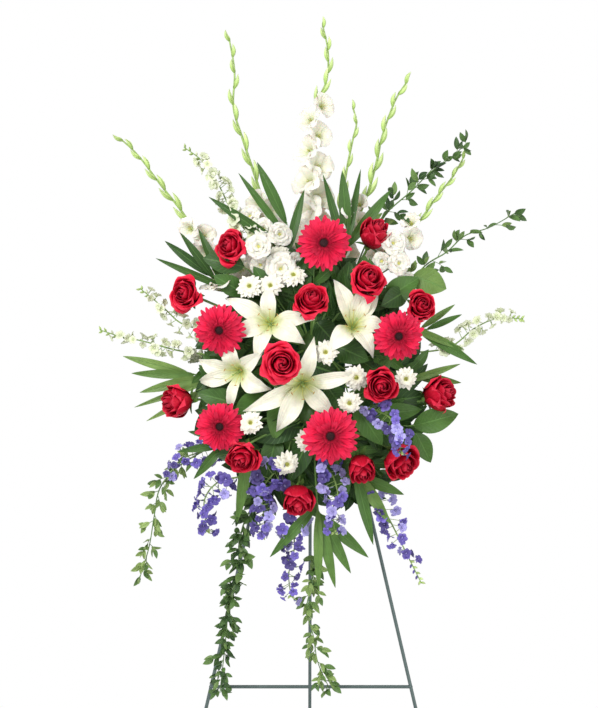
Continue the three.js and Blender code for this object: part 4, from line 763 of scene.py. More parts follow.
# Sprays: where the root is in the foam, the path to the tip, and what stands along it. Florets and buds are
# given by start, end, how many and size.
GLADIOLI = {
    "gladiolus_centre": (("top", 4, -48), [
        (4, -54, 1160), (5, -52, 1291), (5, -52, 1363), (14, -52, 1489), (29, -54, 1525), (32, -54, 1579),
        (22, -54, 1629)], (0.2, 0.69, 10, 35), (0.7, 0.99, 8, 40)),
    "gladiolus_left": (("top", -30, -62), [
        (-40, -66, 1160), (-79, -66, 1265), (-92, -66, 1316), (-126, -66, 1420), (-142, -66, 1474),
        (-140, -66, 1541), (-150, -66, 1602)], (0.02, 0.37, 9, 33), (0.4, 0.99, 11, 44)),
    "gladiolus_far_left": (("top", -50, -50), [
        (-72, -56, 1142), (-150, -62, 1180), (-218, -66, 1258), (-243, -66, 1292), (-272, -66, 1328),
        (-320, -66, 1390), (-349, -66, 1417)], (0.14, 0.5, 7, 31), (0.54, 0.99, 9, 42)),
    "gladiolus_right": (("top", 34, -44), [
        (42, -48, 1160), (76, -48, 1246), (103, -48, 1312), (124, -48, 1386), (130, -48, 1417),
        (158, -48, 1494), (178, -48, 1525)], (0.14, 0.42, 5, 25), (0.42, 0.99, 11, 46)),
    "gladiolus_short": (("top", 22, -70), [
        (28, -76, 1150), (52, -78, 1237), (56, -78, 1292), (66, -78, 1360), (77, -78, 1415), (84, -78, 1447),
        (77, -78, 1474)], (0.16, 0.44, 4, 20), (0.46, 0.99, 8, 36)),
    "gladiolus_far_right": (("top", 50, -62), [
        (74, -68, 1140), (120, -72, 1180), (157, -76, 1212), (207, -78, 1276), (230, -78, 1309),
        (261, -78, 1348), (281, -78, 1384)], (0.28, 0.54, 5, 28), (0.54, 0.99, 9, 36)),
}
LARKSPURS = {
    "larkspur_upper_left": (("top", -12, -78), [
        (-32, -102, 1150), (-110, -102, 1236), (-144, -96, 1283), (-176, -90, 1345), (-202, -90, 1378),
        (-232, -90, 1400)], (0.36, 0.9, 44, 14), (0.9, 1, 6, 9)),
    "larkspur_left": (("left", -60, 30), [
        (-100, -92, 1012), (-180, -98, 1020), (-240, -100, 1028), (-308, -100, 1046), (-344, -100, 1053),
        (-385, -100, 1066)], (0.42, 0.9, 22, 13), (0.9, 1, 6, 9)),
    "larkspur_far_left": (("left", -76, 64), [
        (-96, -106, 1050), (-180, -106, 1064), (-236, -100, 1078), (-268, -98, 1106), (-312, -98, 1142)],
        (0.45, 0.92, 18, 13), (0.92, 1, 5, 9)),
    "larkspur_right": (("right", -60, 40), [
        (100, -92, 1020), (180, -98, 1024), (254, -100, 1035), (300, -100, 1070), (340, -100, 1087),
        (387, -100, 1086)], (0.5, 0.94, 22, 14), (0.94, 1, 6, 9)),
}
DELPHINIUMS = {
    "delphinium_far_left": (("left", -70, -84), [
        (-96, -116, 884), (-150, -118, 866), (-196, -120, 846), (-236, -122, 830), (-260, -122, 800)],
        (0.45, 1, 22, 13)),
    "delphinium_left": (("bottom", -46, -60), [
        (-64, -112, 830), (-120, -124, 802), (-168, -128, 790), (-192, -130, 760), (-188, -130, 700)],
        (0.5, 1, 26, 14)),
    "delphinium_lower_left": (("bottom", -26, -82), [
        (-40, -140, 832), (-74, -160, 800), (-92, -168, 770), (-82, -168, 735), (-88, -166, 694)],
        (0.25, 1, 38, 15)),
    "delphinium_bottom": (("bottom", -6, -60), [
        (-10, -116, 800), (-32, -132, 720), (-30, -140, 672), (-40, -140, 625), (-36, -138, 583)],
        (0.4, 1, 30, 14)),
    "delphinium_lower_right": (("bottom", 14, -82), [
        (24, -150, 826), (42, -166, 796), (48, -172, 764), (40, -172, 735), (42, -170, 702)],
        (0.2, 1, 28, 14)),
    "delphinium_right": (("right", -74, -40), [
        (92, -128, 930), (118, -160, 920), (140, -196, 908), (156, -208, 880), (158, -212, 846)],
        (0.35, 1, 26, 14)),
    "delphinium_far_right": (("bottom", 34, -60), [
        (54, -114, 822), (97, -124, 787), (131, -130, 742), (155, -132, 697), (175, -132, 657),
        (200, -132, 607)],
        (0.38, 0.84, 22, 13), (0.85, 1, 9, 9)),
}
# A sprig's leaves: start, how many shoots, length, tone and how crowded they are
SPRIGS = {
    "sprig_upper_right": (("top", 44, -84), [
        (68, -74, 1150), (122, -62, 1262), (189, -78, 1325), (218, -94, 1354), (254, -96, 1379),
        (286, -96, 1408)],
        (0.4, 17, 33, 0.3, 0.4)),
    "sprig_right": (("right", -46, 70), [
        (96, -72, 1086), (150, -84, 1120), (212, -92, 1186), (248, -92, 1208), (281, -92, 1238),
        (326, -92, 1253), (374, -92, 1280)], (0.4, 14, 34, 0.45, 0.3)),
    "sprig_lower_left": (("left", -46, -60), [
        (-100, -84, 904), (-170, -92, 860), (-245, -96, 814), (-275, -98, 778), (-286, -98, 724),
        (-295, -98, 670), (-313, -98, 610)], (0.4, 20, 28, 0.8, 0.6)),
    "sprig_long": (("bottom", -30, -42), [
        (-46, -94, 800), (-112, -112, 735), (-130, -120, 679), (-131, -130, 625), (-148, -140, 571),
        (-153, -146, 515), (-164, -150, 412)], (0.18, 46, 28, 0.32, 1)),
    "sprig_middle": (("bottom", 10, -40), [
        (8, -98, 790), (12, -112, 690), (0, -126, 600), (-8, -136, 560), (4, -146, 515), (12, -150, 468),
        (34, -152, 418)], (0.42, 24, 28, 0.7, 0.8)),
}
# Button flowers: the root, where the stalks part, and the heads
DAISIES = {
    "daisies_upper": (("front", -30, 84), (-58, -124, 1100), [
        (-112, -160, 1143), (-72, -160, 1146), (-31, -150, 1163), (-101, -128, 1206), (-58, -124, 1201)]),
    "daisies_right": (("front", 42, 4), (58, -142, 985), [
        (81, -186, 979), (171, -176, 979), (70, -196, 934), (24, -186, 1026)]),
    "daisies_lower": (("front", -24, -84), (-36, -150, 868), [
        (-45, -178, 826), (-108, -184, 900), (-10, -190, 868)]),
}
# White blooms between the larger ones, each on a stalk from its spray's root: place, radius and way it faces
LOOSE_BLOOMS = {
    "gladiolus_left": [
        ((-112, -108, 1274), 22, (-0.3, -1, 0.3)), ((-86, -116, 1250), 22, (0, -1, 0.2)),
        ((-56, -120, 1240), 24, (0.2, -1, 0.1)), ((-95, -158, 1216), 25, (-0.1, -1, 0.1)),
        ((-54, -148, 1177), 31, (0.1, -1, 0.2)), ((-24, -132, 1186), 22, (0.4, -1, 0)),
        ((-92, -138, 1182), 22, (-0.2, -1, -0.2)), ((-169, -122, 1152), 35, (-0.3, -0.3, 0.9)),
    ],
    "gladiolus_far_right": [
        ((150, -130, 1224), 24, (0.2, -1, 0.2)), ((160, -134, 1186), 22, (0.3, -1, 0)),
        ((128, -128, 1190), 19, (0, -1, 0.1)), ((172, -118, 1154), 20, (0.4, -1, -0.2)),
    ],
}
# Greens: the heart of each bunch and its root; its fronds with their leaves (the share of the frond where a
# leaf stands, its tip and its width) and their tone; its broad leaves with stalk end, tip, width and tone
GREENS = {
    "upper": ((0, -137, 1035), ("front", 0, 52), [
        ([(-30, -128, 1130), (-44, -112, 1200), (-44, -102, 1262)], [
            (1, (-98, -98, 1372), 24), (0.9, (-132, -98, 1352), 16), (0.8, (-186, -104, 1308), 22),
            (0.75, (-12, -96, 1322), 20)], 0.3),
        ([(40, -128, 1130), (62, -104, 1200), (66, -92, 1240)], [
            (1, (57, -98, 1356), 26), (0.9, (147, -88, 1323), 24), (0.85, (22, -92, 1350), 18),
            (0.8, (92, -62, 1362), 16)], 0.35),
        ([(-90, -126, 1100), (-150, -112, 1140), (-186, -106, 1166)], [
            (1, (-266, -104, 1228), 20), (0.95, (-238, -112, 1243), 18), (0.85, (-205, -100, 1250), 20),
            (0.8, (-282, -112, 1196), 16)], 0.3),
        ([(100, -128, 1070), (170, -118, 1072), (214, -110, 1066)], [
            (1, (275, -104, 1094), 14), (0.95, (262, -110, 1112), 14), (0.9, (302, -112, 1003), 22),
            (0.85, (278, -118, 1030), 16)], 0.6),
    ], [
        ((185, -112, 1165), (246, -118, 1140), 50, 0.7), ((172, -124, 1136), (126, -150, 1108), 38, 0.2),
        ((-118, -132, 1130), (-176, -138, 1164), 36, 0.35), ((-60, -136, 1120), (-104, -140, 1180), 34, 0.3),
        ((10, -138, 1080), (44, -150, 1040), 44, 0.15), ((40, -140, 1040), (104, -156, 1010), 46, 0.3),
        ((60, -128, 1130), (70, -140, 1190), 36, 0.2), ((-34, -128, 1100), (-64, -104, 1236), 34, 0.4),
        ((-6, -134, 1004), (48, -136, 986), 52, 0.1), ((6, -130, 1066), (44, -124, 1104), 44, 0.15),
        ((-120, -128, 1180), (-196, -124, 1196), 40, 0.2), ((130, -128, 1120), (196, -122, 1160), 44, 0.5),
        ((120, -132, 960), (208, -128, 984), 44, 0.15),
    ]),
    "lower": ((0, -154, 915), ("front", 0, -64), [
        ([(-90, -138, 950), (-170, -124, 975), (-225, -114, 988)], [
            (1, (-342, -108, 1018), 20), (0.95, (-326, -112, 987), 20), (0.88, (-311, -116, 952), 22),
            (0.8, (-321, -112, 925), 14), (0.74, (-299, -114, 900), 16)], 0.75),
        ([(-100, -140, 872), (-160, -130, 858)], [
            (1, (-212, -134, 796), 20), (0.95, (-240, -130, 846), 18), (0.8, (-222, -136, 882), 22),
            (0.7, (-134, -134, 716), 26)], 0.45),
        ([(60, -146, 850), (86, -134, 800)], [
            (1, (168, -138, 768), 24), (0.95, (143, -144, 716), 26), (0.9, (112, -148, 678), 24)], 0.55),
        ([(6, -150, 840), (10, -142, 770), (14, -134, 730)], [
            (1, (104, -134, 654), 26), (0.98, (72, -138, 626), 26), (0.96, (44, -140, 600), 24),
            (0.94, (14, -142, 596), 20), (0.9, (-74, -146, 656), 24)], 0.6),
        ([(90, -146, 940), (150, -132, 960), (190, -124, 984)], [
            (1, (272, -130, 970), 20), (0.9, (270, -136, 1004), 16)], 0.65),
    ], [
        ((184, -138, 892), (266, -142, 914), 44, 0.5), ((190, -136, 880), (216, -142, 826), 34, 0.45),
        ((80, -152, 930), (128, -158, 858), 42, 0.5), ((30, -152, 962), (62, -170, 920), 40, 0.3),
        ((-50, -150, 950), (-66, -160, 868), 44, 0.55), ((-84, -146, 948), (-138, -150, 908), 44, 0.5),
        ((-120, -142, 930), (-206, -140, 952), 40, 0.35), ((110, -140, 912), (200, -142, 922), 34, 0.5),
        ((-60, -146, 880), (-84, -150, 790), 40, 0.3), ((-14, -150, 892), (-40, -142, 838), 44, 0.4),
        ((40, -148, 850), (66, -150, 766), 38, 0.3), ((-96, -136, 950), (-204, -126, 996), 46, 0.25),
        ((-100, -138, 900), (-210, -132, 920), 46, 0.2), ((120, -134, 880), (196, -132, 860), 44, 0.25),
        ((-90, -136, 850), (-172, -138, 838), 42, 0.2), ((110, -134, 930), (212, -130, 948), 46, 0.15),
        ((-16, -146, 900), (-104, -156, 866), 44, 0.1), ((0, -146, 880), (-40, -152, 790), 40, 0.15),
    ]),
}


# Roots in the foam, in the holder's frame
def held(x, y, z):
    """From the holder's frame to the part's: it leans back with the easel."""
    lean_y = y * math.cos(LEAN) + z * math.sin(LEAN)
    lean_z = z * math.cos(LEAN) - y * math.sin(LEAN)
    return on_frame(0, FOAM_MIDDLE_Z) + vec(x, lean_y, lean_z)


def root_ends(root):
    """The straight root's ends: just outside the foam's face, and inside the foam."""
    face, a, b = root
    half_x, half_z = FOAM[0] / 2, FOAM[2] / 2
    place, inwards = {
        "top": ((a, b, half_z), (0, 0, -1)),
        "bottom": ((a, b, -half_z), (0, 0, 1)),
        "left": ((-half_x, a, b), (1, 0, 0)),
        "right": ((half_x, a, b), (-1, 0, 0)),
        "front": ((a, FOAM_BACK_Y - FOAM[1], b), (0, 1, 0)),
    }[face]
    return [held(*(vec(*place) + distance * vec(*inwards))) for distance in (-ROOT_OUT, ROOT_DEPTH)]


def spray_stem(form, root, path, radius, tip_radius, tone):
    """A spray's stem, straight into the foam and curved outside it. Gives the curve back."""
    outer, inner = root_ends(root)
    line = Line([outer, *path])
    form.stem(Line([inner, outer]), radius, radius, steps=2, tone=tone)
    form.stem(line, radius, tip_radius, steps=40, tone=tone)
    return line


# Sprays

GLADIOLUS_DEPTH = 20  # of an open floret
BUD_LEAN = 58  # degrees round the stem from the viewer's side


def gladiolus(form, root, path, florets, buds):
    """Open florets up a stem and green buds, each in its bract, above them."""
    draw = form.draw
    line = spray_stem(form, root, path, 3.4, 1.5, tone=0.9)
    start, end, count, radius = florets
    for i, t in enumerate(np.linspace(start, end, count)):
        out = line.outwards(t, by_turns(i, 30) + draw.uniform(-12, 12)) + 0.35 * line.along(t)
        place = Place(line.at(t) + 3 * unit(out), out, 25 * i)
        size = radius * (1.08 - 0.34 * i / count) * draw.uniform(0.92, 1.06)
        open_flower(form, place, size, GLADIOLUS_DEPTH, 6, "white_petal", wide=0.5, wave=0.2, fine=(6, 8))
        form.turned_form(place, [(1.6, -2), (2.6, 2), (3.4, 7)], 8, "bud", 0.4)
        for k in range(3):
            tip = place.set(round_place(2.2, 2.1 * k, 17))
            form.stem(Line([place.set((0, 0, 4)), tip]), 0.5, 0.7, "button_eye", steps=3, sides=5)
    start, end, count, length = buds
    for i, t in enumerate(np.linspace(start, end, count)):
        shrink = 1 - 0.5 * i / count
        side = by_turns(i, BUD_LEAN)
        way = unit(0.82 * line.along(t) + 0.18 * line.outwards(t, side))
        foot = line.at(t) - 2 * way
        tip = foot + way * length * shrink
        wide = 0.22 * length * (0.5 + 0.5 * shrink)
        bow = 0.06 * length * line.outwards(t, side)
        form.pod(foot, tip, wide, "bud", 0.5 + 0.4 * draw.random(), 9, 8, belly=0.9, bend=bow)
        bract_tip = foot + unit(way + 0.12 * line.outwards(t, side)) * length * shrink * 0.8
        leaf(form, foot, bract_tip, wide * 1.25, "bud", draw.uniform(0, 0.4), arch=0.08, cup=-0.5,
             face=line.outwards(t, side), fine=(4, 7))


# Rows of a loose bloom's petals: the share of its radius and how many
BLOOM_ROWS = [(1.0, 7), (0.74, 6), (0.45, 5)]


def loose_blooms(form, root, blooms):
    """White double blooms on stalks of their own."""
    outer, _ = root_ends(root)
    for centre, radius, way in blooms:
        way = unit(vec(*way))
        back = vec(*centre) - 0.5 * radius * way
        middle = (outer + back) / 2 + vec(0, 14, 0)
        form.stem(Line([outer, middle, back]), 1.6, 1.3, steps=12, tone=0.8)
        for share, count in BLOOM_ROWS:
            place = Place(back, way, form.draw.uniform(0, 60))
            depth = radius * (0.62 - 0.16 * share)
            open_flower(form, place, share * radius, depth, count, "white_petal",
                        wide=0.52, wave=0.2, fine=(6, 8))
        form.turned_form(Place(back, way), [(2, 1), (3.4, 4), (2.4, 7.5)], 8, "button_eye", 0.9)


LAST = 0.99  # the share of a stem where its last flower or leaf may stand


def spike(form, root, path, florets, buds, looks, fullness):
    """Larkspur or delphinium: small open flowers on short stalks all round a slender stem.

    The longest stalks are about as long as fullness times a floret's radius.
    """
    draw = form.draw
    line = spray_stem(form, root, path, 2.2, 0.9, tone=0.7)
    start, end, count, radius = florets
    for i, t in enumerate(np.linspace(start, end, count)):
        t = min(max(t + draw.uniform(-0.02, 0.02), 0), LAST)
        out = unit(line.outwards(t, i * SPIRAL % 260 - 130) + draw.uniform(-0.2, 0.7) * line.along(t))
        stalk = fullness * radius * draw.uniform(0.3, 1.0) * (1.1 - 0.5 * i / count)
        centre = line.at(t) + out * stalk
        way = unit(out + 0.5 * VIEWER + vec(*(draw.uniform(-0.8, 0.8) for _ in range(3))))
        form.stem(Line([line.at(t), centre + 0.2 * (way - out)]), 0.6, 0.6, steps=2, sides=5, tone=0.8)
        size = radius * (1.0 - 0.3 * i / count) * draw.uniform(0.7, 1.1)
        place = Place(centre, way, draw.uniform(0, 72))
        look = draw.choice(looks)
        tone = draw.random()
        open_flower(form, place, size, 0.5 * size, 5, look, wide=0.42, wave=0.3, fine=(4, 6), tone=tone)
        eye = "button_petal" if look == "cream_petal" else "lilac_petal"
        form.pod(centre, centre + way * 0.45 * size, 0.28 * size, eye, draw.random(), 6, 4)
        form.pod(centre, centre - unit(way - 0.5 * line.along(t)) * 0.8 * size, 0.22 * size, look, 0.3, 5, 4)
    start, end, count, length = buds
    for i, t in enumerate(np.linspace(start, end, count)):
        t = min(t, LAST)
        way = unit(0.5 * line.along(t) + 0.5 * line.outwards(t, by_turns(i, 80)))
        bud_look = looks[0] if i % 2 and t < 0.95 else "bud"
        form.pod(line.at(t), line.at(t) + way * length, 0.5 * length, bud_look, draw.random(), 7, 5)


SHOOT_LENGTHS = (6, 12, 20, 28, 36)


def sprig(form, root, path, leaves):
    """Small leaves in groups on short shoots along a slender stem."""
    draw = form.draw
    start, count, size, tone, crowd = leaves
    line = spray_stem(form, root, path, 1.9, 0.8, tone=0.3)
    for i, t in enumerate(np.linspace(start, LAST, count)):
        t = min(t + draw.uniform(-0.015, 0.015), LAST)
        side = by_turns(i, 75) + draw.uniform(-60, 60)
        way = unit(line.outwards(t, side) + draw.uniform(0.5, 1.6) * line.along(t))
        shoot_length = draw.choice(SHOOT_LENGTHS) * (1.1 - 0.6 * t)
        foot = line.at(t)
        sag = vec(0, 0, -0.12 * shoot_length)
        shoot = Line([foot, foot + 0.5 * shoot_length * way, foot + shoot_length * way + sag])
        form.stem(shoot, 0.7, 0.5, steps=4, sides=5, tone=0.4)
        for k in range(2 + round(crowd * (1 + shoot_length / 7))):
            far = 1 - 0.2 * k
            here, along = shoot.at(far), shoot.along(max(far, 0))
            turn = (k * SPIRAL + draw.uniform(-50, 50)) % 360
            blade_way = unit(along + draw.uniform(0.4, 1.1) * shoot.outwards(max(far, 0.02), turn))
            length = size * (1 - 0.25 * t) * draw.uniform(0.65, 1.05)
            face = VIEWER + vec(draw.uniform(-1.2, 1.2), 0, draw.uniform(-0.9, 1.2))
            shade = min(max(tone + draw.uniform(-0.35, 0.35), 0), 1)
            width = length * draw.uniform(0.38, 0.52)
            leaf(form, here, here + length * blade_way, width, "sprig_leaf", shade, face=face, fine=(4, 6))


def button_spray(form, root, fork, heads):
    """Button flowers on stalks that part at a fork."""
    outer, inner = root_ends(root)
    split = vec(*fork)
    form.stem(Line([inner, outer, split]), 2, 2, steps=8)
    for x, y, z in heads:
        head = vec(x, y, z)
        way = unit(unit(head - split) + 1.6 * VIEWER)
        base = head - 8 * way
        form.stem(Line([split, base - 14 * way, base + way]), 1.5, 1.2, steps=12)
        tilt = vec(form.draw.uniform(-0.25, 0.25), 0, form.draw.uniform(-0.25, 0.25))
        button_flower(form, Place(base, way + tilt), BUTTON_WIDTH * form.draw.uniform(1.0, 1.14))


# Greens

FILLER_TWIGS = 52
TWIG_LEAVES = 7
FILLER_REACH = {"upper": (185, 215), "lower": (190, 245)}  # sideways and up or down
FILLER_FOOT = (50, 100)  # the same, where the twigs start
# In front of and behind the foam's front face: the range of the twigs' reach, of their feet and of their ends
FILLER_FRONT = ((0.55, 1.0), (-122, -114), (-132, -104))
FILLER_BACK = ((0.75, 0.95), (-100, -50), (-100, -20))
GOLDEN_SHARE = 0.618
FROND_SLIM = 0.84  # a frond's leaves against the widths in the table


def frond(form, heart, path, leaves, tone):
    """A stem from the bunch's heart, with long leaves."""
    line = Line([heart, *path])
    form.stem(line, 2.2, 1.4, tone=0.4)
    for at, tip, width in leaves:
        twist = form.draw.uniform(-0.5, 0.5)
        shade = tone + form.draw.uniform(-0.15, 0.15)
        foot = line.at(at * 0.98)
        leaf(form, foot, vec(*tip), FROND_SLIM * width, tone=shade, twist=twist, fine=(6, 14))


def broad_leaf(form, heart, start, tip, width, tone):
    """A broad leaf on a stalk from the bunch's heart."""
    start, tip = vec(*start), vec(*tip)
    form.stem(Line([heart, start, start + 0.1 * (tip - start)]), 1.8, 1.2, steps=12, tone=0.4)
    twist = form.draw.uniform(-0.3, 0.3)
    leaf(form, start, tip, width, tone=tone, arch=0.1, cup=0.15, twist=twist, fine=(8, 12))


def round_foam(size, turn, y):
    """A place round the foam's middle, size giving how far to the side and how far up."""
    return vec(size[0] * math.cos(turn), y, FOAM_MIDDLE_Z + size[1] * math.sin(turn))


def filler(form, side, back):
    """Short leafy twigs between the foam and the blooms, or round the foam's sides and back."""
    draw = form.draw
    sign = 1 if side == "upper" else -1
    shares, feet_y, ends_y = FILLER_BACK if back else FILLER_FRONT
    for i in range(FILLER_TWIGS // (2 if back else 1)):
        turn = sign * math.pi * ((i + 0.5) * GOLDEN_SHARE % 1)
        share = draw.uniform(*shares)
        foot = round_foam(FILLER_FOOT, turn, draw.uniform(*feet_y))
        end = round_foam(share * vec(*FILLER_REACH[side]), turn, draw.uniform(*ends_y))
        bend = (foot + end) / 2 + vec(0, -6, 0)
        line = Line([foot, bend, end])
        form.stem(line, 1.6, 1.0, tone=0.3, steps=8, sides=6)
        for k in range(TWIG_LEAVES):
            t = 0.3 + 0.7 * k / (TWIG_LEAVES - 1)
            way = unit(0.9 * line.along(t) + line.outwards(t, by_turns(k, draw.uniform(72, 105))))
            length = draw.uniform(38, 62)
            face = VIEWER + vec(draw.uniform(-0.5, 0.5), 0, draw.uniform(-0.5, 0.5))
            start = line.at(t)
            leaf(form, start, start + length * way, length * draw.uniform(0.3, 0.42),
                 tone=draw.uniform(0.0, 0.45), face=face, fine=(4, 7))


HEART_HEIGHT, HEART_WIDTH = 60, 46


def greens(form, side):
    """A bunch's heart with its fronds, leaves and fillers and the stems of its blooms."""
    heart_place, root, fronds, broad = GREENS[side]
    heart = vec(*heart_place)
    outer, inner = root_ends(root)
    form.stem(Line([inner, outer, heart]), 9, 6, steps=6)
    half = vec(0, 0, HEART_HEIGHT / 2)
    form.pod(heart - half, heart + half, HEART_WIDTH, "stem", 0.1, 12, 8)
    for path, leaves, tone in fronds:
        frond(form, heart, path, leaves, tone)
    for start, tip, width, tone in broad:
        broad_leaf(form, heart, start, tip, width, tone)
    for base, way, radius in stems[side]:
        neck = base - 16 * way
        bend = (neck + heart) / 2 - 6 * way
        form.stem(Line([heart, bend, neck, base + way]), radius, radius, steps=16)
    filler(form, side, back=False)
    filler(form, side, back=True)


# The blooms and sprays, each in place of its CAD node

ROSE_STEM_R, LARGE_STEM_R = 2.4, 2.6
TIP_BUDS = (0.97, 1, 3, 9)  # of a delphinium that has no buds of its own in the table
LARKSPUR_FULLNESS, DELPHINIUM_FULLNESS = 1.3, 1.95
stems = {"upper": [], "lower": []}  # each bunch's blooms: base, way and the stem's radius


def bloom(name, slot, place, depth, yaw, pitch, side, stem_radius, make, *sizes):
    """A bloom with its middle at a place."""
    form = Form(name)
    way = facing(yaw, pitch)
    base = vec(*place) - way * depth / 2
    make(form, Place(base, way), *sizes)
    form.finish(name + "_bloom", "spray", slot, name)
    stems[side].append((base, way, stem_radius))


def spray(name, slot, make, *details):
    form = Form(name)
    make(form, *details)
    form.finish(name + "_spray", "spray", slot, name)


def gladiolus_and_blooms(form, blooms, root, *details):
    gladiolus(form, root, *details)
    loose_blooms(form, root, blooms)


for name, (*place, width, height, opened, yaw, pitch, side) in ROSES.items():
    bloom(name, "rose_petals", place, height, yaw, pitch, side, ROSE_STEM_R, rose, width, height, opened)
for name, (*place, width, yaw, pitch, side) in GERBERAS.items():
    bloom(name, "gerbera_petals", place, GERBERA_DEPTH, yaw, pitch, side, LARGE_STEM_R, gerbera, width)
for name, (*place, reach, depth, yaw, pitch, side, petals) in LILIES.items():
    bloom(name, "lily_petals", place, depth, yaw, pitch, side, LARGE_STEM_R, lily, reach, depth, petals)
for name, details in GLADIOLI.items():
    spray(name, "gladiolus", gladiolus_and_blooms, LOOSE_BLOOMS.get(name, []), *details)
for name, details in LARKSPURS.items():
    spray(name, "larkspur", spike, *details, ["cream_petal"], LARKSPUR_FULLNESS)
for name, (root, path, florets, *buds) in DELPHINIUMS.items():
    pale = 4 if name == "delphinium_lower_right" else 1
    looks = ["blue_petal"] * 3 + ["lilac_petal"] * pale
    own_buds = buds[0] if buds else TIP_BUDS
    spray(name, "delphinium", spike, root, path, florets, own_buds, looks, DELPHINIUM_FULLNESS)
for name, details in SPRIGS.items():
    spray(name, "sprigs", sprig, *details)
for name, details in DAISIES.items():
    spray(name, "daisies", button_spray, *details)
for side in GREENS:
    form = Form("greens_" + side)
    greens(form, side)
    form.finish(f"greens_{side}_leaves", "spray", "greens", "greens_" + side)


# The easel, with smooth wires and weld beads where they meet

WIRE_SIDES = 20
BEND_STEPS = 24
RING_STEPS = 32
WELD_LENGTH = 9.2
# The cap on a leg's end, as radii and heights
FOOT_CAP = [(2.4, 0.02), (4.3, 0.6), (4.5, 2), (4.5, 17), (3.6, 18)]


def leg_x(z):
    """How far a leg's middle is from the easel's centre line."""
    return BEND_R + WIRE_R + (EASEL_TOP - BEND_R - z) * SPLAY


def wire(form, *places, radius=WIRE_R):
    form.tube(places, radius, WIRE_SIDES, "wire")


def weld(form, x, z):
    place, half = on_frame(x, z), vec(0, 0, WELD_LENGTH / 2)
    form.pod(place - half, place + half, 2.35 * WIRE_R, "wire", 0.5, 12, 8)


for side, name in ((-1, "easel_leg_left"), (1, "easel_leg_right")):
    form = Form(name)
    wire(form, *(on_frame(side * leg_x(z), z) for z in (WIRE_END_Z, HEAD_FOOT_Z)))
    form.turned_form(Place(on_frame(side * leg_x(0), 0), UP), FOOT_CAP, WIRE_SIDES, "wire")
    for z in (HEAD_FOOT_Z, REST_WIRE_Z, CROSS_WIRE_Z):
        weld(form, side * leg_x(z), z)
    form.finish(name + "_wire", "spray", "wire", name)

for name, z in (("easel_rest_wire", REST_WIRE_Z), ("easel_cross_wire", CROSS_WIRE_Z)):
    form = Form(name)
    end = leg_x(z) - WIRE_R / 2
    wire(form, on_frame(-end, z), on_frame(end, z))
    form.finish(name + "_rod", "spray", "wire", name)

form = Form("easel_head")
bend_z = EASEL_TOP - BEND_R
arch = [on_frame(-leg_x(bend_z) * math.cos(a), bend_z + BEND_R * math.sin(a))
        for a in np.linspace(0, math.pi, BEND_STEPS + 1)]
foot = leg_x(HEAD_FOOT_Z)
wire(form, on_frame(-foot, HEAD_FOOT_Z), *arch, on_frame(foot, HEAD_FOOT_Z))
for z in (HINGE_Z, HOOK_WIRE_Z):
    wire(form, on_frame(-leg_x(z), z), on_frame(leg_x(z), z), radius=0.95 * WIRE_R)
form.finish("easel_head_bend", "spray", "wire", "easel_head")

form = Form("easel_leg_back")
hinge = on_frame(0, HINGE_Z)
ring = [hinge + EYE_R * vec(0, math.cos(a), math.sin(a)) for a in np.linspace(0, 2 * math.pi, RING_STEPS + 1)]
form.tube(ring, WIRE_R / 2, 14, "wire")
way = vec(0, math.sin(BACK_SWING), -math.cos(BACK_SWING))
start = hinge + way * EYE_R
wire(form, start, start + way * (start[2] - WIRE_END_Z) / math.cos(BACK_SWING))
to_bend = (EASEL_TOP - HINGE_Z) / math.cos(LEAN)
tail_angle = LEAN + math.asin((WIRE_R + TAIL_R + TAIL_GAP) / to_bend)
tail_way = vec(0, math.sin(tail_angle), math.cos(tail_angle))
wire(form, hinge + EYE_R * tail_way, hinge + TAIL_LENGTH * tail_way, radius=TAIL_R)
form.finish("easel_leg_back_wire", "back_leg", "wire", "easel_leg_back")

# The holder keeps its CAD shapes
HOLDER_LOOKS = {"holder_tray": "tray", "foam_block": "foam", "tape_upper": "tape", "tape_lower": "tape"}
for name, look in HOLDER_LOOKS.items():
    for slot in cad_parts[name].material_slots:
        slot.material = material(look)

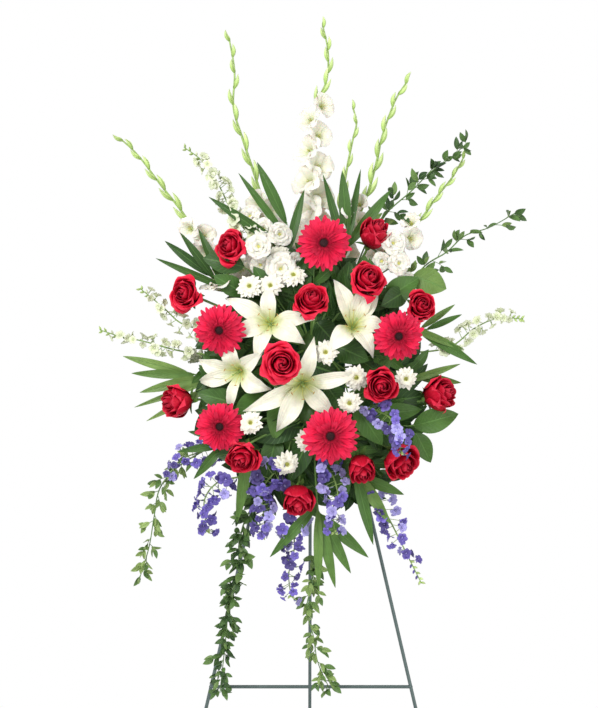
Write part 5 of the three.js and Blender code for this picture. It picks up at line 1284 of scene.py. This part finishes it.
# The floor, the light and the camera
FLOOR_R, FLOOR_SIDES = 2.0, 96
turns = np.linspace(0, 2 * math.pi, FLOOR_SIDES, endpoint=False)
rim = [(FLOOR_R * math.cos(a), FLOOR_R * math.sin(a), 0) for a in turns]
mesh = bpy.data.meshes.new("floor")
mesh.from_pydata(rim, [], [tuple(range(len(rim)))])
mesh.materials.append(material("floor"))
floor = bpy.data.objects.new("floor", mesh)
bpy.context.scene.collection.objects.link(floor)

LIT_PLACE = Vector((0, -0.15, 1.0))
# Each light's place, its size in metres and its power in watts
LIGHTS = {
    "key": ((-1.7, -2.6, 2.8), 1.6, 85),
    "fill": ((2.2, -2.4, 1.4), 2.2, 30),
    "rim": ((0.8, 2.4, 2.4), 1.6, 30),
}
for name, (place, size, power) in LIGHTS.items():
    data = bpy.data.lights.new(name, "AREA")
    data.size = size
    data.energy = power
    lamp = bpy.data.objects.new(name, data)
    bpy.context.scene.collection.objects.link(lamp)
    lamp.location = place
    lamp.rotation_euler = (LIT_PLACE - lamp.location).to_track_quat("-Z", "Y").to_euler()

# The dome is white round the horizon and greyer above and below
world = bpy.data.worlds.new("studio")
world.use_nodes = True
bpy.context.scene.world = world
tree = world.node_tree
sky = tree.nodes["Background"]
split = tree.nodes.new("ShaderNodeSeparateXYZ")
tree.links.new(tree.nodes.new("ShaderNodeTexCoord").outputs["Generated"], split.inputs[0])
height = tree.nodes.new("ShaderNodeMath")
height.operation = "ABSOLUTE"
tree.links.new(split.outputs[2], height.inputs[0])
dome = tree.nodes.new("ShaderNodeValToRGB")
for stop, (position, grey) in zip(dome.color_ramp.elements, ((0.22, 1), (0.55, 0.45))):
    stop.position = position
    stop.color = (grey, grey, grey, 1)
tree.links.new(height.outputs[0], dome.inputs["Fac"])
tree.links.new(dome.outputs["Color"], sky.inputs["Color"])
bpy.context.scene.view_settings.view_transform = "Standard"

LENS, SENSOR = 113, 36  # millimetres
camera_data = bpy.data.cameras.new("camera")
camera_data.lens = LENS
camera_data.sensor_width = SENSOR
camera = bpy.data.objects.new("camera", camera_data)
camera.location = (-0.0236, -4.22, 1.022)
camera.rotation_euler = (math.radians(90), 0, 0)
bpy.context.scene.collection.objects.link(camera)
bpy.context.scene.camera = camera
